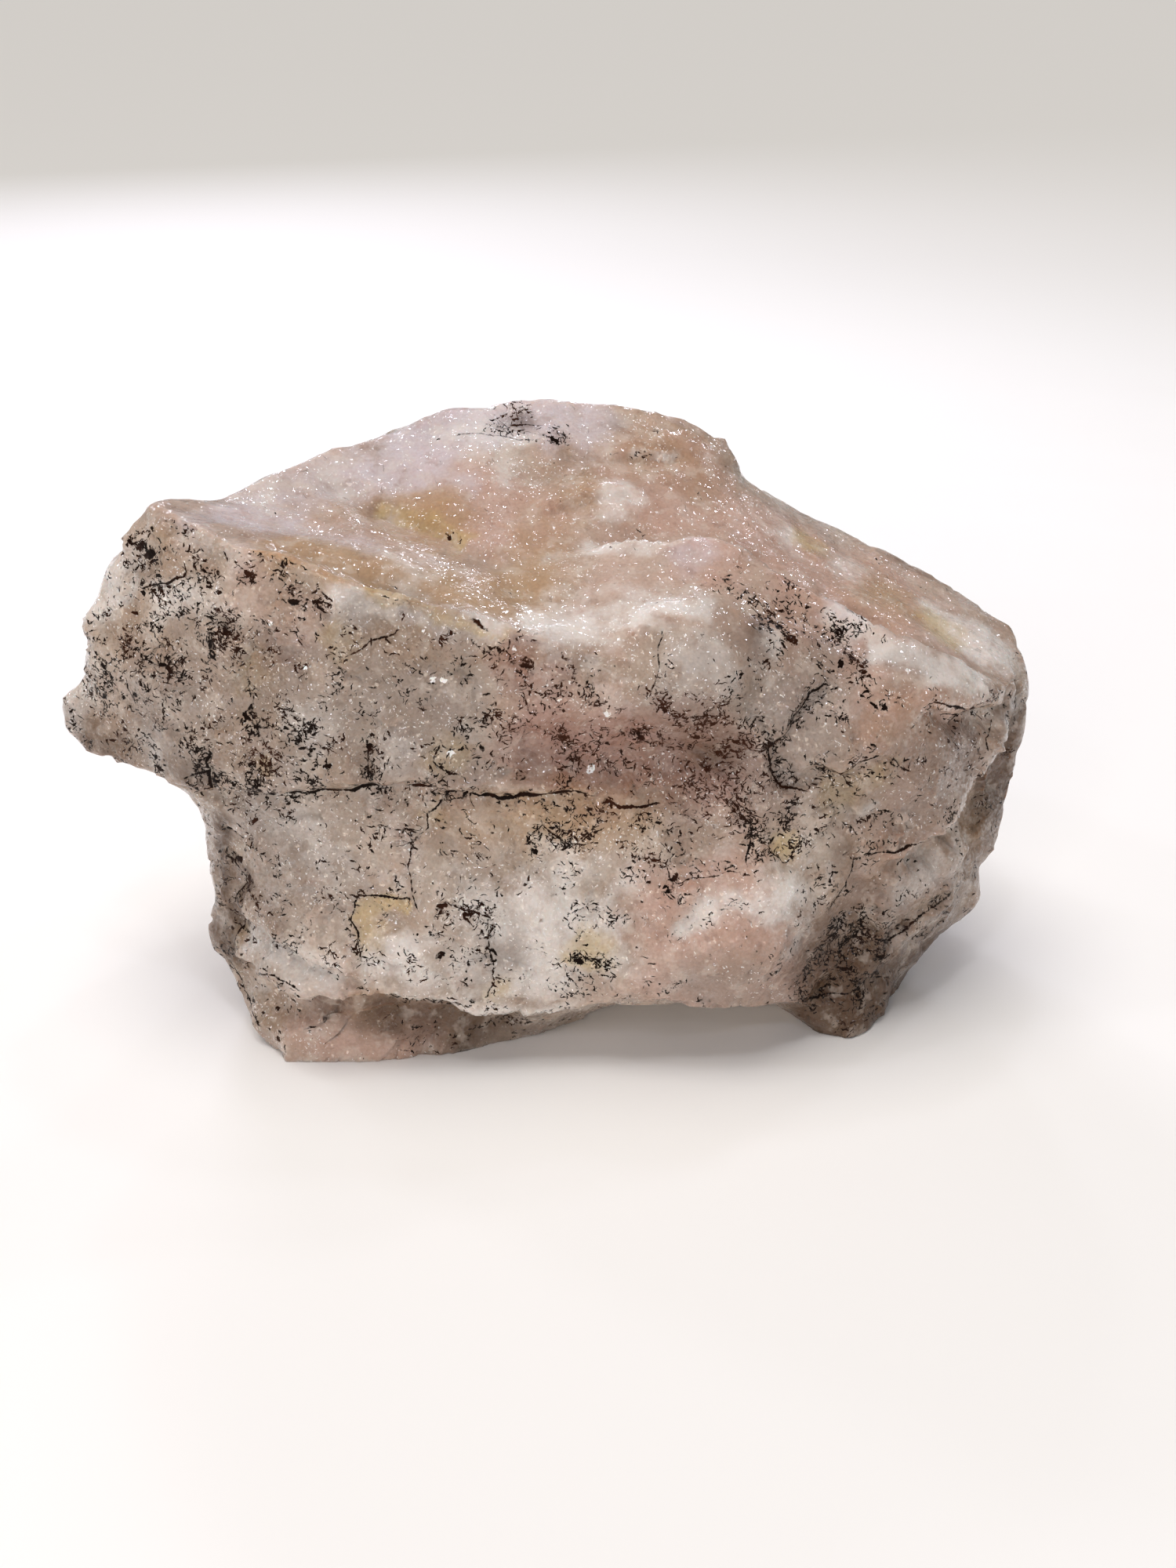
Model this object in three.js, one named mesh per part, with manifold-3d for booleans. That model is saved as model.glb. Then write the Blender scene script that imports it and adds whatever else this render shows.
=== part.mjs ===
// Rose quartz chunk: one raw, uncut block broken from a vein, about 204 mm long.
// +X runs along its length, -Y is its broad front face, +Z is up. It stands on
// z = 0 on a wedge at the front left, a foot at the front right and its back.
// Every line below follows an edge, crest or hollow of the stone, in millimetres.

import * as THREE from "three";
import { ConvexHull } from "three/addons/math/ConvexHull.js";
import { ImprovedNoise } from "three/addons/math/ImprovedNoise.js";
import Module from "manifold-3d";

const wasm = await Module();
wasm.setup();

// Driving dimensions, mm.
const HEART = new THREE.Vector3(0, -3, 64); // every part of the skin is seen from here
const REACH = new THREE.Vector3(100, 60, 55); // half the stone's length, depth and height
const EDGE_STEP = 4; // spacing of the points along a crisp edge
const CREST_STEP = 6; // spacing of the points along a soft crest or hollow
const FILL_COUNT = 2600; // points spread over the faces between the lines
const FILL_GAP = 4.2; // the nearest a face point comes to a line
const LONGEST_EDGE = 8.5;
const SWELL = 1.1; // height of the broad unevenness of the broken faces
const RIPPLE = 0.5; // height of the fine unevenness
const BURIED = -1.5; // the base lines run this far below the resting plane

// Crisp edges: the broken rims and ledges.
const crisp = [
  // rim where the top slab meets the front face, falling from left to right
  [[-75, -28, 110], [-66, -38, 109.5], [-58, -43, 107], [-48, -46, 105], [-43, -47, 103],
    [-38, -48, 101], [-24, -50, 98], [-15, -51, 95.5], [-5, -51, 92.5], [5, -50, 88.5],
    [13, -49, 87]],
  // crest of the top, stepping up from the left shoulder to the peak
  [[-75, -28, 110], [-71, -24, 109.5], [-64, -18, 107.5], [-60, -15, 108.5],
    [-56, -12, 109], [-53, -8, 110.5], [-48, -4, 111.5], [-45, -1, 113], [-40, 2, 113],
    [-34, 5, 114], [-28, 7, 114.5], [-24, 9, 117], [-19, 11, 118.5], [-9, 12, 119],
    [0, 13, 120], [7, 14, 119.5], [14, 15, 118], [22, 15, 116.5], [31, 15, 115],
    [35.5, 14, 112.5], [37.5, 12, 109], [39.5, 9, 105.5], [42, 8, 102.5]],
  // step down beside the peak, then the long fall to the right end
  [[42, 8, 102.5], [49, 12, 98], [59, 12, 93.5], [69, 11, 89], [79, 9, 83.5],
    [86, 7, 80.5], [92, 5, 77], [96, 3, 75.5], [101, 0, 73], [103, -4, 70.5],
    [104, -8, 67], [104, -12, 63]],
  // ragged left end of the overhanging lobe
  [[-75, -28, 110], [-80, -29, 104.5], [-84.5, -29, 97], [-86.5, -28, 91], [-90.5, -28, 86],
    [-90.5, -27, 79], [-93, -26, 73.5], [-98, -26, 67.5], [-99.5, -27, 64], [-97.5, -29, 59.5],
    [-93, -32, 57]],
  // lower lip of the upper slab, over the long horizontal parting
  [[-93, -32, 57], [-84, -36, 57], [-76, -40, 56], [-67, -46.5, 55], [-55, -51, 59],
    [-38, -55, 63], [-25, -56.5, 64.5], [-18, -56.5, 63], [-8, -55.5, 62], [4, -53.5, 61],
    [13, -51, 59]],
  // foot of the parting, just under the lip
  [[-66, -43.5, 53.5], [-55, -48.5, 57], [-38, -52.5, 61], [-25, -54, 62.5],
    [-18, -54, 61], [-8, -53, 60], [4, -51.5, 58.5]],
  // white edge over the rounded boss in the middle of the front
  [[16, -46.5, 88.5], [20, -44.5, 91], [26, -43, 92.5], [32, -42.5, 92.5], [37, -42.5, 90],
    [41, -43, 86.5]],
  // lip of the nose at the right end, and the fold under it
  [[70, -39, 78], [76, -39.5, 74.5], [84, -36, 71], [90, -30, 70], [97, -21, 69]],
  [[76, -37, 70.5], [85, -32.5, 67], [91, -26, 65], [99, -18, 64]],
  // slanting edge of the large facet at the right end
  [[96, -25, 62], [91, -29, 58], [87, -32, 53], [85, -34.5, 46], [81, -38, 42.5],
    [73, -43.5, 42], [67, -46, 44]],
  [[94, -21, 54], [91, -26, 47], [87, -30, 41], [80, -36, 39.5], [74, -40.5, 39]],
  // outline of the right end, seen square from the front
  [[104, -12, 63], [102.5, -14, 56], [101.5, -15, 49], [101.5, -16, 42], [99.5, -18, 34.5],
    [98.5, -20, 30], [95, -22, 25.5], [94.5, -25, 19], [90, -26, 13.5], [85, -27, 9.5],
    [80, -27, 4]],
  // ledge of the lower right block, running down to the foot
  [[88, -34, 34], [82, -38.5, 28], [78, -41.5, 24], [71, -45, 21], [68, -46.5, 17],
    [66, -48, 10]],
  // lower edge of the front face, and the slanting slab edge at its left
  [[-66, -43, 15.5], [-55, -55, 19], [-47, -60, 18.5], [-37, -60.5, 20.5], [-24, -61, 19.5],
    [-14, -60.5, 14.5], [0, -60, 13.5], [11, -60, 15], [23, -60, 17.5], [33, -59.5, 15],
    [41, -58.5, 13], [47, -56.5, 12.5], [51, -54, 12]],
  // upper edge of the wedge
  [[-60, -51, 6.5], [-47, -58.5, 8], [-38, -58, 7], [-28, -56.5, 4.5]],
  // two upright arrises of the back, and the step between them
  [[-34, 14, 112], [-40, 28, 101], [-44, 42, 82], [-42, 49, 60], [-37, 48, 34], [-36, 40, 6]],
  [[33, 20, 111], [38, 34, 96], [44, 48, 74], [48, 53, 52], [46, 50, 28], [42, 40, 5]],
  [[-44, 44, 70], [-30, 52, 67], [-12, 58, 69], [6, 60, 64], [24, 59, 66], [46, 50, 62]],
  [[-41, 46, 60], [-26, 51, 59], [-8, 54, 60], [10, 55, 55], [26, 55, 57], [46, 50, 53]],
  [[-40, 28, 101], [-22, 30, 105], [0, 32, 106], [20, 34, 104], [38, 34, 96]],
  // left edge of the lower body
  [[-66, -44, 52], [-69, -38, 46], [-70, -36, 35], [-70, -36, 25], [-71, -37, 17],
    [-66, -42, 10], [-60, -50.5, 4]],
];

// Soft lines: crests, hollows and the run of the faces.
const soft = [
  // hollow of the left slab, and the tongue it runs into
  [[-59, -28, 105.5], [-46, -26, 103.5]],
  [[-56, -20, 106], [-46, -14, 106.5]],
  [[-42, -24, 104], [-31, -33, 101], [-19, -42, 98]],
  // fold that parts the slab from the peak, and the basin it opens into
  [[-39, -8, 104.5], [-35, -11.5, 102.5], [-27, -16, 101], [-20, -20, 99.5],
    [-13, -24, 97.5], [-7, -28, 96], [-3, -34, 93.5], [0, -40, 91.5]],
  // front slope of the peak
  [[-26, -3, 110.5], [-17, 0, 113], [-7, -1, 111], [7, -1, 109], [20, 0, 107.5],
    [31, 1, 107]],
  [[-30, -5, 107.5], [-21, -10, 106], [-12, -15, 103.5], [-4, -18, 101], [4, -15, 101],
    [16, -11, 102], [29, -8, 102]],
  // crest of the right-hand block, the gully behind it and the slope beyond
  [[4, -23, 97.5], [14, -23, 98.5], [25, -21, 99], [37, -22, 98.5], [41, -24, 96],
    [48, -27, 92.5], [60, -31, 87.5], [76, -31, 80], [86, -27, 75], [93, -23, 71]],
  [[6, -18, 96], [15, -17, 96.5], [27, -14, 97], [38, -14, 95.5], [50, -18, 90.5],
    [63, -22, 84.5], [78, -22, 78], [88, -19, 73.5], [97, -14, 70]],
  [[46, -3, 97], [63, -5, 88], [79, -8, 81.5], [93, -11, 74]],
  [[8, -40, 90.5], [17, -37, 93.5], [28, -35, 95], [39, -35, 92.5], [47, -35, 90]],
  // upper front face and the boss
  [[-88, -33, 76], [-74, -41, 81], [-58, -47, 84], [-43, -51, 83], [-28, -53, 81],
    [-13, -53.5, 78], [2, -52.5, 76]],
  [[-84, -37, 64], [-71, -44, 65], [-58, -50, 68], [-40, -53.5, 71], [-22, -55, 71]],
  [[12, -51, 80], [20, -52.5, 82], [28, -53, 83], [37, -51.5, 81], [44, -48, 77]],
  [[47, -40, 86.5], [54, -39.5, 84], [62, -42, 79.5]],
  // dark belt under the boss
  [[-6, -52, 68], [4, -49, 66], [12, -47, 62], [22, -46.5, 61], [32, -46.5, 62],
    [42, -47, 64], [49, -47, 60]],
  // large facet at the right end
  [[50, -46, 78], [57, -46, 75], [65, -46, 71], [74, -42.5, 67], [84, -36.5, 64]],
  [[54, -49, 64], [63, -49, 59], [74, -45, 55], [82, -39, 53]],
  // crease between the lower middle and the lower right block
  [[56, -49, 58], [61, -47, 50], [63, -46, 44], [62, -45.5, 36], [60, -47, 30],
    [59, -48, 22], [57, -48, 15]],
  [[70, -46.5, 34], [79, -42, 34], [88, -34, 34]],
  [[91, -25, 20], [85, -30, 15.5], [79, -33, 11]],
  // lower front face
  [[-63, -45.5, 48], [-46, -51, 52], [-29, -53.5, 54], [-14, -54, 53], [1, -53, 51],
    [17, -51, 50], [32, -51, 51], [46, -51.5, 52]],
  [[-68, -40, 31], [-58, -48, 36], [-45, -55, 38], [-29, -57.5, 39], [-14, -58.5, 38],
    [1, -58.5, 36], [17, -58, 36], [32, -58.5, 38], [45, -57, 37], [55, -51.5, 36]],
  [[-60, -49, 25], [-47, -58, 28], [-29, -60, 28], [-8, -60.5, 26], [14, -60.5, 26],
    [30, -61, 28], [42, -60, 27], [52, -54, 24]],
  // recess between the slab edge and the wedge
  [[-64, -43.5, 11.5], [-56, -51, 13], [-47, -55.5, 12], [-34, -54.5, 10], [-22, -51, 6]],
  // arch under the front edge
  [[-10, -53.5, 7], [4, -53, 8.5], [16, -52, 11], [30, -51, 10.5], [43, -50, 9]],
  [[6, -46, 4], [13, -42, 5], [24, -38, 6], [36, -37, 6.5], [45, -39, 6.5]],
  // foot
  [[53, -49, 8], [58, -51, 8.5], [66, -49, 7], [75, -38, 5]],
  // back of the stone: shoulder, widest line, waist and lower edge
  [[-86, -14, 96], [-74, -4, 99], [-60, 9, 101], [-42, 20, 103]],
  [[42, 26, 95], [62, 24, 84], [80, 18, 75], [95, 6, 67]],
  [[-93, -10, 76], [-84, 4, 76], [-64, 22, 73], [-44, 40, 75]],
  [[46, 50, 70], [70, 33, 58], [88, 15, 50], [99, -3, 54]],
  [[-93, -18, 56], [-80, -6, 51], [-70, 5, 46], [-58, 24, 44]],
  [[62, 40, 38], [80, 19, 31], [94, -6, 34]],
  [[-68, -14, 24], [-65, 8, 20], [-50, 31, 16]],
  [[-20, 50, 20], [12, 55, 20]],
  [[66, 23, 12], [80, -4, 13]],
  [[-92, -24, 56], [-80, -26, 53], [-71, -27, 48], [-69, -14, 43]],
];

// Outline of the resting face and a few points inside it.
const base = [
  [[-54, -58.5, BURIED], [-44, -58, BURIED], [-31, -57, BURIED], [-23, -56, BURIED],
    [-15, -53.5, BURIED], [-7, -50, BURIED], [0, -46, BURIED], [8, -39.5, BURIED],
    [17, -33, BURIED], [30, -28, BURIED], [44, -27, BURIED], [51, -31, BURIED],
    [54, -37, BURIED], [55.5, -43, BURIED], [59, -48, BURIED], [64, -49.5, BURIED], [68, -47.5, BURIED],
    [72, -42.5, BURIED], [76, -34, BURIED], [79, -24, BURIED], [77, -8, BURIED],
    [64, 18, BURIED], [42, 36, BURIED], [12, 45, BURIED], [-22, 42, BURIED],
    [-48, 27, BURIED], [-62, 4, BURIED], [-66, -20, BURIED], [-62, -40, BURIED],
    [-58, -50, BURIED], [-54, -58.5, BURIED]],
  [[-40, -30, BURIED], [-20, 10, BURIED], [15, 15, BURIED], [45, 0, BURIED]],
];

// Points every few millimetres along a line.
function along(line, step) {
  const points = [new THREE.Vector3(...line[0])];
  for (let i = 1; i < line.length; i++) {
    const from = new THREE.Vector3(...line[i - 1]);
    const to = new THREE.Vector3(...line[i]);
    const steps = Math.max(1, Math.round(from.distanceTo(to) / step));
    for (let k = 1; k <= steps; k++) {
      points.push(from.clone().lerp(to, k / steps));
    }
  }
  return points;
}

// Skin over a set of points: neighbours are those that touch when every point is
// pushed out from the heart onto an ellipsoid of the stone's proportions.
function skin(points) {
  const index = new Map();
  const outward = points.map((point, i) => {
    const ray = point.clone().sub(HEART).divide(REACH).normalize();
    index.set(ray, i);
    return ray;
  });
  const hull = new ConvexHull().setFromPoints(outward);
  return hull.faces.map((face) => {
    const corners = [];
    let edge = face.edge;
    do {
      corners.push(index.get(edge.head().point));
      edge = edge.next;
    } while (edge !== face.edge);
    return corners;
  });
}

// Where a ray from the heart leaves the skin.
function leave(ray, triangles) {
  const hit = new THREE.Vector3();
  const found = triangles.find(([a, b, c]) => ray.intersectTriangle(a, b, c, false, hit));
  return found ? hit : null;
}

// Even spread of points over the faces, kept clear of the lines.
function fill(points, faces) {
  const triangles = faces.map((face) => face.map((i) => points[i]));
  const turn = Math.PI * (3 - Math.sqrt(5));
  const added = [];
  for (let i = 0; i < FILL_COUNT; i++) {
    const height = 1 - (2 * i + 1) / FILL_COUNT;
    const radius = Math.sqrt(1 - height * height);
    const way = new THREE.Vector3(height, radius * Math.cos(i * turn), radius * Math.sin(i * turn));
    const ray = new THREE.Ray(HEART, way.multiply(REACH).normalize());
    const point = leave(ray, triangles);
    if (point && !points.some((other) => other.distanceTo(point) < FILL_GAP)) {
      added.push(point.clone());
    }
  }
  return added;
}

// Halve every edge that is too long, until none is left.
function refine(points, faces, hold) {
  let current = faces;
  for (let round = 0; round < 4; round++) {
    const middles = new Map();
    const middle = (i, j) => {
      if (points[i].distanceTo(points[j]) <= LONGEST_EDGE) {
        return -1;
      }
      const key = Math.min(i, j) * 100000 + Math.max(i, j);
      if (!middles.has(key)) {
        middles.set(key, points.length);
        points.push(points[i].clone().lerp(points[j], 0.5));
        hold.push(Math.min(hold[i], hold[j]));
      }
      return middles.get(key);
    };
    const next = [];
    for (const [a, b, c] of current) {
      const ab = middle(a, b);
      const bc = middle(b, c);
      const ca = middle(c, a);
      let ring = [a, ab, b, bc, c, ca].filter((i) => i >= 0);
      // cut corners off the ring until only triangles are left
      while (ring.length > 3) {
        const n = ring.length;
        const spans = ring.map((_, k) =>
          points[ring[(k + n - 1) % n]].distanceTo(points[ring[(k + 1) % n]]));
        const usable = spans.map((span, k) => {
          const isMiddle = [ab, bc, ca].includes(ring[k]);
          return isMiddle ? Infinity : span;
        });
        const k = usable.indexOf(Math.min(...usable));
        next.push([ring[(k + n - 1) % n], ring[k], ring[(k + 1) % n]]);
        ring = ring.filter((_, j) => j !== k);
      }
      next.push(ring);
    }
    current = next;
    if (middles.size === 0) {
      break;
    }
  }
  return current;
}

// Ease the faces into smooth curves, holding the lines nearly where they are.
function ease(points, faces, hold) {
  const neighbours = points.map(() => new Set());
  for (const [a, b, c] of faces) {
    neighbours[a].add(b).add(c);
    neighbours[b].add(c).add(a);
    neighbours[c].add(a).add(b);
  }
  for (let round = 0; round < 3; round++) {
    const moved = points.map((point, i) => {
      const mean = new THREE.Vector3();
      neighbours[i].forEach((j) => mean.add(points[j]));
      mean.divideScalar(neighbours[i].size);
      return point.clone().lerp(mean, 0.55 * (1 - hold[i]));
    });
    points.forEach((point, i) => point.copy(moved[i]));
  }
}

const lines = [];
const hold = [];
const gather = (group, step, amount) => {
  for (const line of group) {
    for (const point of along(line, step)) {
      if (!lines.some((other) => other.distanceTo(point) < 1.2)) {
        lines.push(point);
        hold.push(amount);
      }
    }
  }
};
gather(crisp, EDGE_STEP, 0.94);
gather(soft, CREST_STEP, 0.6);
gather(base, EDGE_STEP, 1);

const added = fill(lines, skin(lines));
const points = lines.concat(added);
added.forEach(() => hold.push(0));
const faces = refine(points, skin(points), hold);
ease(points, faces, hold);

const shape = new THREE.BufferGeometry();
shape.setAttribute("position", new THREE.BufferAttribute(
  new Float32Array(points.flatMap((point) => point.toArray())), 3));
shape.setIndex(faces.flat());
shape.computeVertexNormals();

// Unevenness of the broken skin.
const noise = new ImprovedNoise();
const place = shape.getAttribute("position");
const normal = shape.getAttribute("normal");
for (let i = 0; i < place.count; i++) {
  const point = new THREE.Vector3().fromBufferAttribute(place, i);
  const broad = noise.noise(point.x / 15 + 31.7, point.y / 15 + 5.3, point.z / 15 + 11.9);
  const fine = noise.noise(point.x / 6 + 3.1, point.y / 6 + 27.7, point.z / 6 + 8.3);
  const fade = THREE.MathUtils.smoothstep(point.z, 0, 5);
  point.addScaledVector(
    new THREE.Vector3().fromBufferAttribute(normal, i), fade * (SWELL * broad + RIPPLE * fine));
  place.setXYZ(i, point.x, point.y, point.z);
}

// Flat resting face: everything under z = 0 is cut away.
function solid(geometry) {
  const mesh = new wasm.Mesh({
    numProp: 3,
    vertProperties: new Float32Array(geometry.getAttribute("position").array),
    triVerts: new Uint32Array(geometry.index.array),
  });
  mesh.merge();
  return new wasm.Manifold(mesh);
}
const below = new THREE.BoxGeometry(400, 400, 100);
below.translate(0, 0, -50);
const cut = solid(shape).subtract(solid(below)).getMesh();

const stone = new THREE.BufferGeometry();
stone.setAttribute("position", new THREE.BufferAttribute(new Float32Array(cut.vertProperties), 3));
stone.setIndex(Array.from(cut.triVerts));
stone.computeBoundingBox();
const middle = stone.boundingBox.getCenter(new THREE.Vector3());
stone.translate(-middle.x, -middle.y, 0);
stone.computeVertexNormals();

const rose = new THREE.MeshStandardMaterial({ color: 0xb8a79c, roughness: 0.45, metalness: 0 });
rose.name = "rose_quartz";

const chunk = new THREE.Mesh(stone, rose);
chunk.name = "chunk";

const group = new THREE.Group();
group.name = "rose_quartz_chunk";
group.add(chunk);

export default group;
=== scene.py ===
import math

import bmesh
import bpy
import numpy as np
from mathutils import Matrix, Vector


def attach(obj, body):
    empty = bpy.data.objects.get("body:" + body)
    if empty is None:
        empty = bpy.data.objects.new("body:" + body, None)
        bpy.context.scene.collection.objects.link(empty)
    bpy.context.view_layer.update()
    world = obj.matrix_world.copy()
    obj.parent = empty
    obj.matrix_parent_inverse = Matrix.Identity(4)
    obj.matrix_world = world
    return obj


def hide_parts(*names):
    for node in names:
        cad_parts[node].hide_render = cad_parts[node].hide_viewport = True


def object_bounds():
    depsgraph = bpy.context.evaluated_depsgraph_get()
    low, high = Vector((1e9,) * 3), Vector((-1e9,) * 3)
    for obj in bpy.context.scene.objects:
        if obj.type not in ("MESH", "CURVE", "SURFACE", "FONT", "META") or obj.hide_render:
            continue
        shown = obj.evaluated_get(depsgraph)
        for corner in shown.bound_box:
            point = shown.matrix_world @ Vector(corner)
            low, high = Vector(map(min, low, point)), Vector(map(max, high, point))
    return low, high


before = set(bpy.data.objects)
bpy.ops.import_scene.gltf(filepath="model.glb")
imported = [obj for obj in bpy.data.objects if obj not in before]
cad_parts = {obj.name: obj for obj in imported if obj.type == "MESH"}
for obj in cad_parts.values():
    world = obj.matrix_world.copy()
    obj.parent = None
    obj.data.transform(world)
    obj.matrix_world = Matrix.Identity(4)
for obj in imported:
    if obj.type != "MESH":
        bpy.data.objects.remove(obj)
cad_box = [list(corner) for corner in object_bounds()]

# ----------------------------------------------------------------------------------------------------------
# The chunk: one piece of massive rose quartz, broken out of a vein and never cut or polished. Its top is an
# old, worn parting face, smooth and waxy. Its front is fresh rough fracture, grainy, with fine black mica and
# iron stain in every crack.
# ----------------------------------------------------------------------------------------------------------
MM = 0.001
ROUNDING_LEVELS = 2   # every face of the solid becomes 12 small ones, about 1 mm wide
KEEN_ANGLE = 32       # degrees between two faces from where their shared edge stays keen
KEEN = 0.45           # how much of such an edge the rounding leaves


def closed_skin(node):
    """The solid's loose faces joined into one closed surface, and rounded by Catmull-Clark subdivision, in
    which an edge keeps the share KEEN of its sharpness where its two faces turn by more than KEEN_ANGLE."""
    joined = bmesh.new()
    joined.from_mesh(node.data)
    bmesh.ops.remove_doubles(joined, verts=joined.verts, dist=1e-6)
    mesh = bpy.data.meshes.new("joined")
    joined.to_mesh(mesh)
    joined.free()
    corner = np.empty(len(mesh.loops), np.int64)
    mesh.loops.foreach_get("edge_index", corner)
    normal = np.empty(len(mesh.polygons) * 3)
    mesh.polygons.foreach_get("normal", normal)
    normal = normal.reshape(-1, 3)
    order = np.argsort(corner, kind="stable").reshape(-1, 2) // 3
    turn = (normal[order[:, 0]] * normal[order[:, 1]]).sum(1)
    keen = np.where(turn < math.cos(math.radians(KEEN_ANGLE)), KEEN, 0.0)
    mesh.attributes.new("crease_edge", "FLOAT", "EDGE").data.foreach_set("value", keen.astype(np.float32))
    rough = bpy.data.objects.new("joined", mesh)
    bpy.context.scene.collection.objects.link(rough)
    rounding = rough.modifiers.new("rounding", "SUBSURF")
    rounding.levels = rounding.render_levels = ROUNDING_LEVELS
    rounding.boundary_smooth = "ALL"
    ready = rough.evaluated_get(bpy.context.evaluated_depsgraph_get())
    rounded = bpy.data.meshes.new_from_object(ready)
    bpy.data.objects.remove(rough)
    bpy.data.meshes.remove(mesh)
    return rounded


skin = closed_skin(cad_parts["chunk"])
skin.name = "rose_quartz_chunk"


def places():
    """The skin's points, in millimetres, and the direction each one faces."""
    at = np.empty(len(skin.vertices) * 3)
    skin.vertices.foreach_get("co", at)
    facing = np.empty(len(skin.vertices) * 3)
    skin.vertex_normals.foreach_get("vector", facing)
    return at.reshape(-1, 3) / MM, facing.reshape(-1, 3)


slopes = np.random.default_rng(7).normal(size=(256, 3))
slopes /= np.linalg.norm(slopes, axis=1)[:, None]


def scatter(cell, seed):
    """A repeatable whole number from 0 to 255 for each cell of a lattice: its three indices times large odd
    numbers, mixed by shifts."""
    h = cell[:, 0] * 73856093 ^ cell[:, 1] * 19349663 ^ cell[:, 2] * 83492791 ^ seed * 2654435761
    h = (h ^ (h >> 13)) * 1274126177
    return (h ^ (h >> 16)) & 255


TO_ONE = 1.7     # widens the mix of the random slopes to about -1 to 1


def grain(p, size, seed=0):
    """Gradient noise, about -1 to 1: each corner of a lattice of cubes `size` mm wide has a random slope, and
    a point takes the smooth mix of what the eight slopes around it give there."""
    q = p / size
    low = np.floor(q).astype(np.int64)
    part = q - low
    smooth = part ** 3 * (part * (part * 6 - 15) + 10)
    total = np.zeros(len(p))
    for corner in np.ndindex(2, 2, 2):
        c = np.array(corner)
        share = np.where(c, smooth, 1 - smooth).prod(1)
        total += share * (slopes[scatter(low + c, seed)] * (part - c)).sum(1)
    return total * TO_ONE


def layered(p, size, layers, seed=0, gain=0.5):
    """Sum of noises, each half as wide as the last and `gain` times as strong."""
    return sum(gain ** k * grain(p, size / 2 ** k, seed + k) for k in range(layers))


JITTER = 0.42    # how far a chip's own point lies from the middle of its cell, in cells
TILT = 0.55      # the slope of a chip that leans the most
RISE = 0.5       # how far the highest chip stands over the lowest, in parts of a chip's width


def chips(p, size, seed=0):
    """Flat chips of a hackly fracture, about `size` mm wide, as heights in mm: the nearest of a lattice's
    jittered points owns the place, and gives it the height of its own tilted plane."""
    q = p / size
    low = np.floor(q).astype(np.int64)
    best = np.full(len(p), np.inf)
    height = np.zeros(len(p))
    for step in np.ndindex(3, 3, 3):
        cell = low + np.array(step) - 1
        h = scatter(cell, seed)
        seedling = cell + 0.5 + JITTER * slopes[h]
        away = q - seedling
        far = (away ** 2).sum(1)
        plane = (away * slopes[(h * 7 + 3) & 255]).sum(1) * TILT + (h / 255 - 0.5) * RISE
        nearer = far < best
        best = np.where(nearer, far, best)
        height = np.where(nearer, plane, height)
    return height * size


def ramp(value, low, high):
    """0 below low, 1 above high, and a smooth S between them."""
    t = np.clip((value - low) / (high - low), 0, 1)
    return t * t * (3 - 2 * t)


DEEP = 3     # mm over or under a drawn line that still count as on it


def trail(p, facing, line):
    """For a bent line of points in mm, seen from each skin point along the way it faces: how far off the
    line is, how far along it that is, from 0 to 1, and on which side the skin point lies, +1 on the left of
    one who walks the line. Up to DEEP mm of height over or under the line don't count, which lets a line
    drawn near the surface lie on it."""
    line = np.array(line, float)
    length = np.linalg.norm(np.diff(line, axis=0), axis=1)
    gone = np.concatenate([[0], np.cumsum(length)])
    high = [((q - p) * facing).sum(1) for q in line]
    flat = [q - p - h[:, None] * facing for q, h in zip(line, high)]
    best = np.full(len(p), np.inf)
    along = np.zeros(len(p))
    side = np.zeros(len(p))
    for k in range(len(line) - 1):
        run = flat[k + 1] - flat[k]
        t = np.clip(-(flat[k] * run).sum(1) / ((run ** 2).sum(1) + 1e-9), 0, 1)
        off = flat[k] + t[:, None] * run
        over = np.maximum(np.abs(high[k] + t * (high[k + 1] - high[k])) - DEEP, 0)
        far = np.sqrt((off ** 2).sum(1) + over ** 2)
        nearer = far < best
        left = np.where((np.cross(run, off) * facing).sum(1) < 0, 1.0, -1.0)
        best = np.where(nearer, far, best)
        along = np.where(nearer, (gone[k] + t * length[k]) / gone[-1], along)
        side = np.where(nearer, left, side)
    return best, along, side


def spot(p, at, radius):
    """1 at a place in mm, falling smoothly to 0 at `radius` from it. Three radii squash the spot along x, y
    and z."""
    far = np.linalg.norm((p - np.array(at, float)) / np.array(radius, float), axis=1)
    return 1 - ramp(far, 0.15, 1)


def fade(along, share=0.12):
    """1 along a line, running out to 0 over `share` of it at both ends."""
    return ramp(along, 0, share) * (1 - ramp(along, 1 - share, 1))


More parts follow.
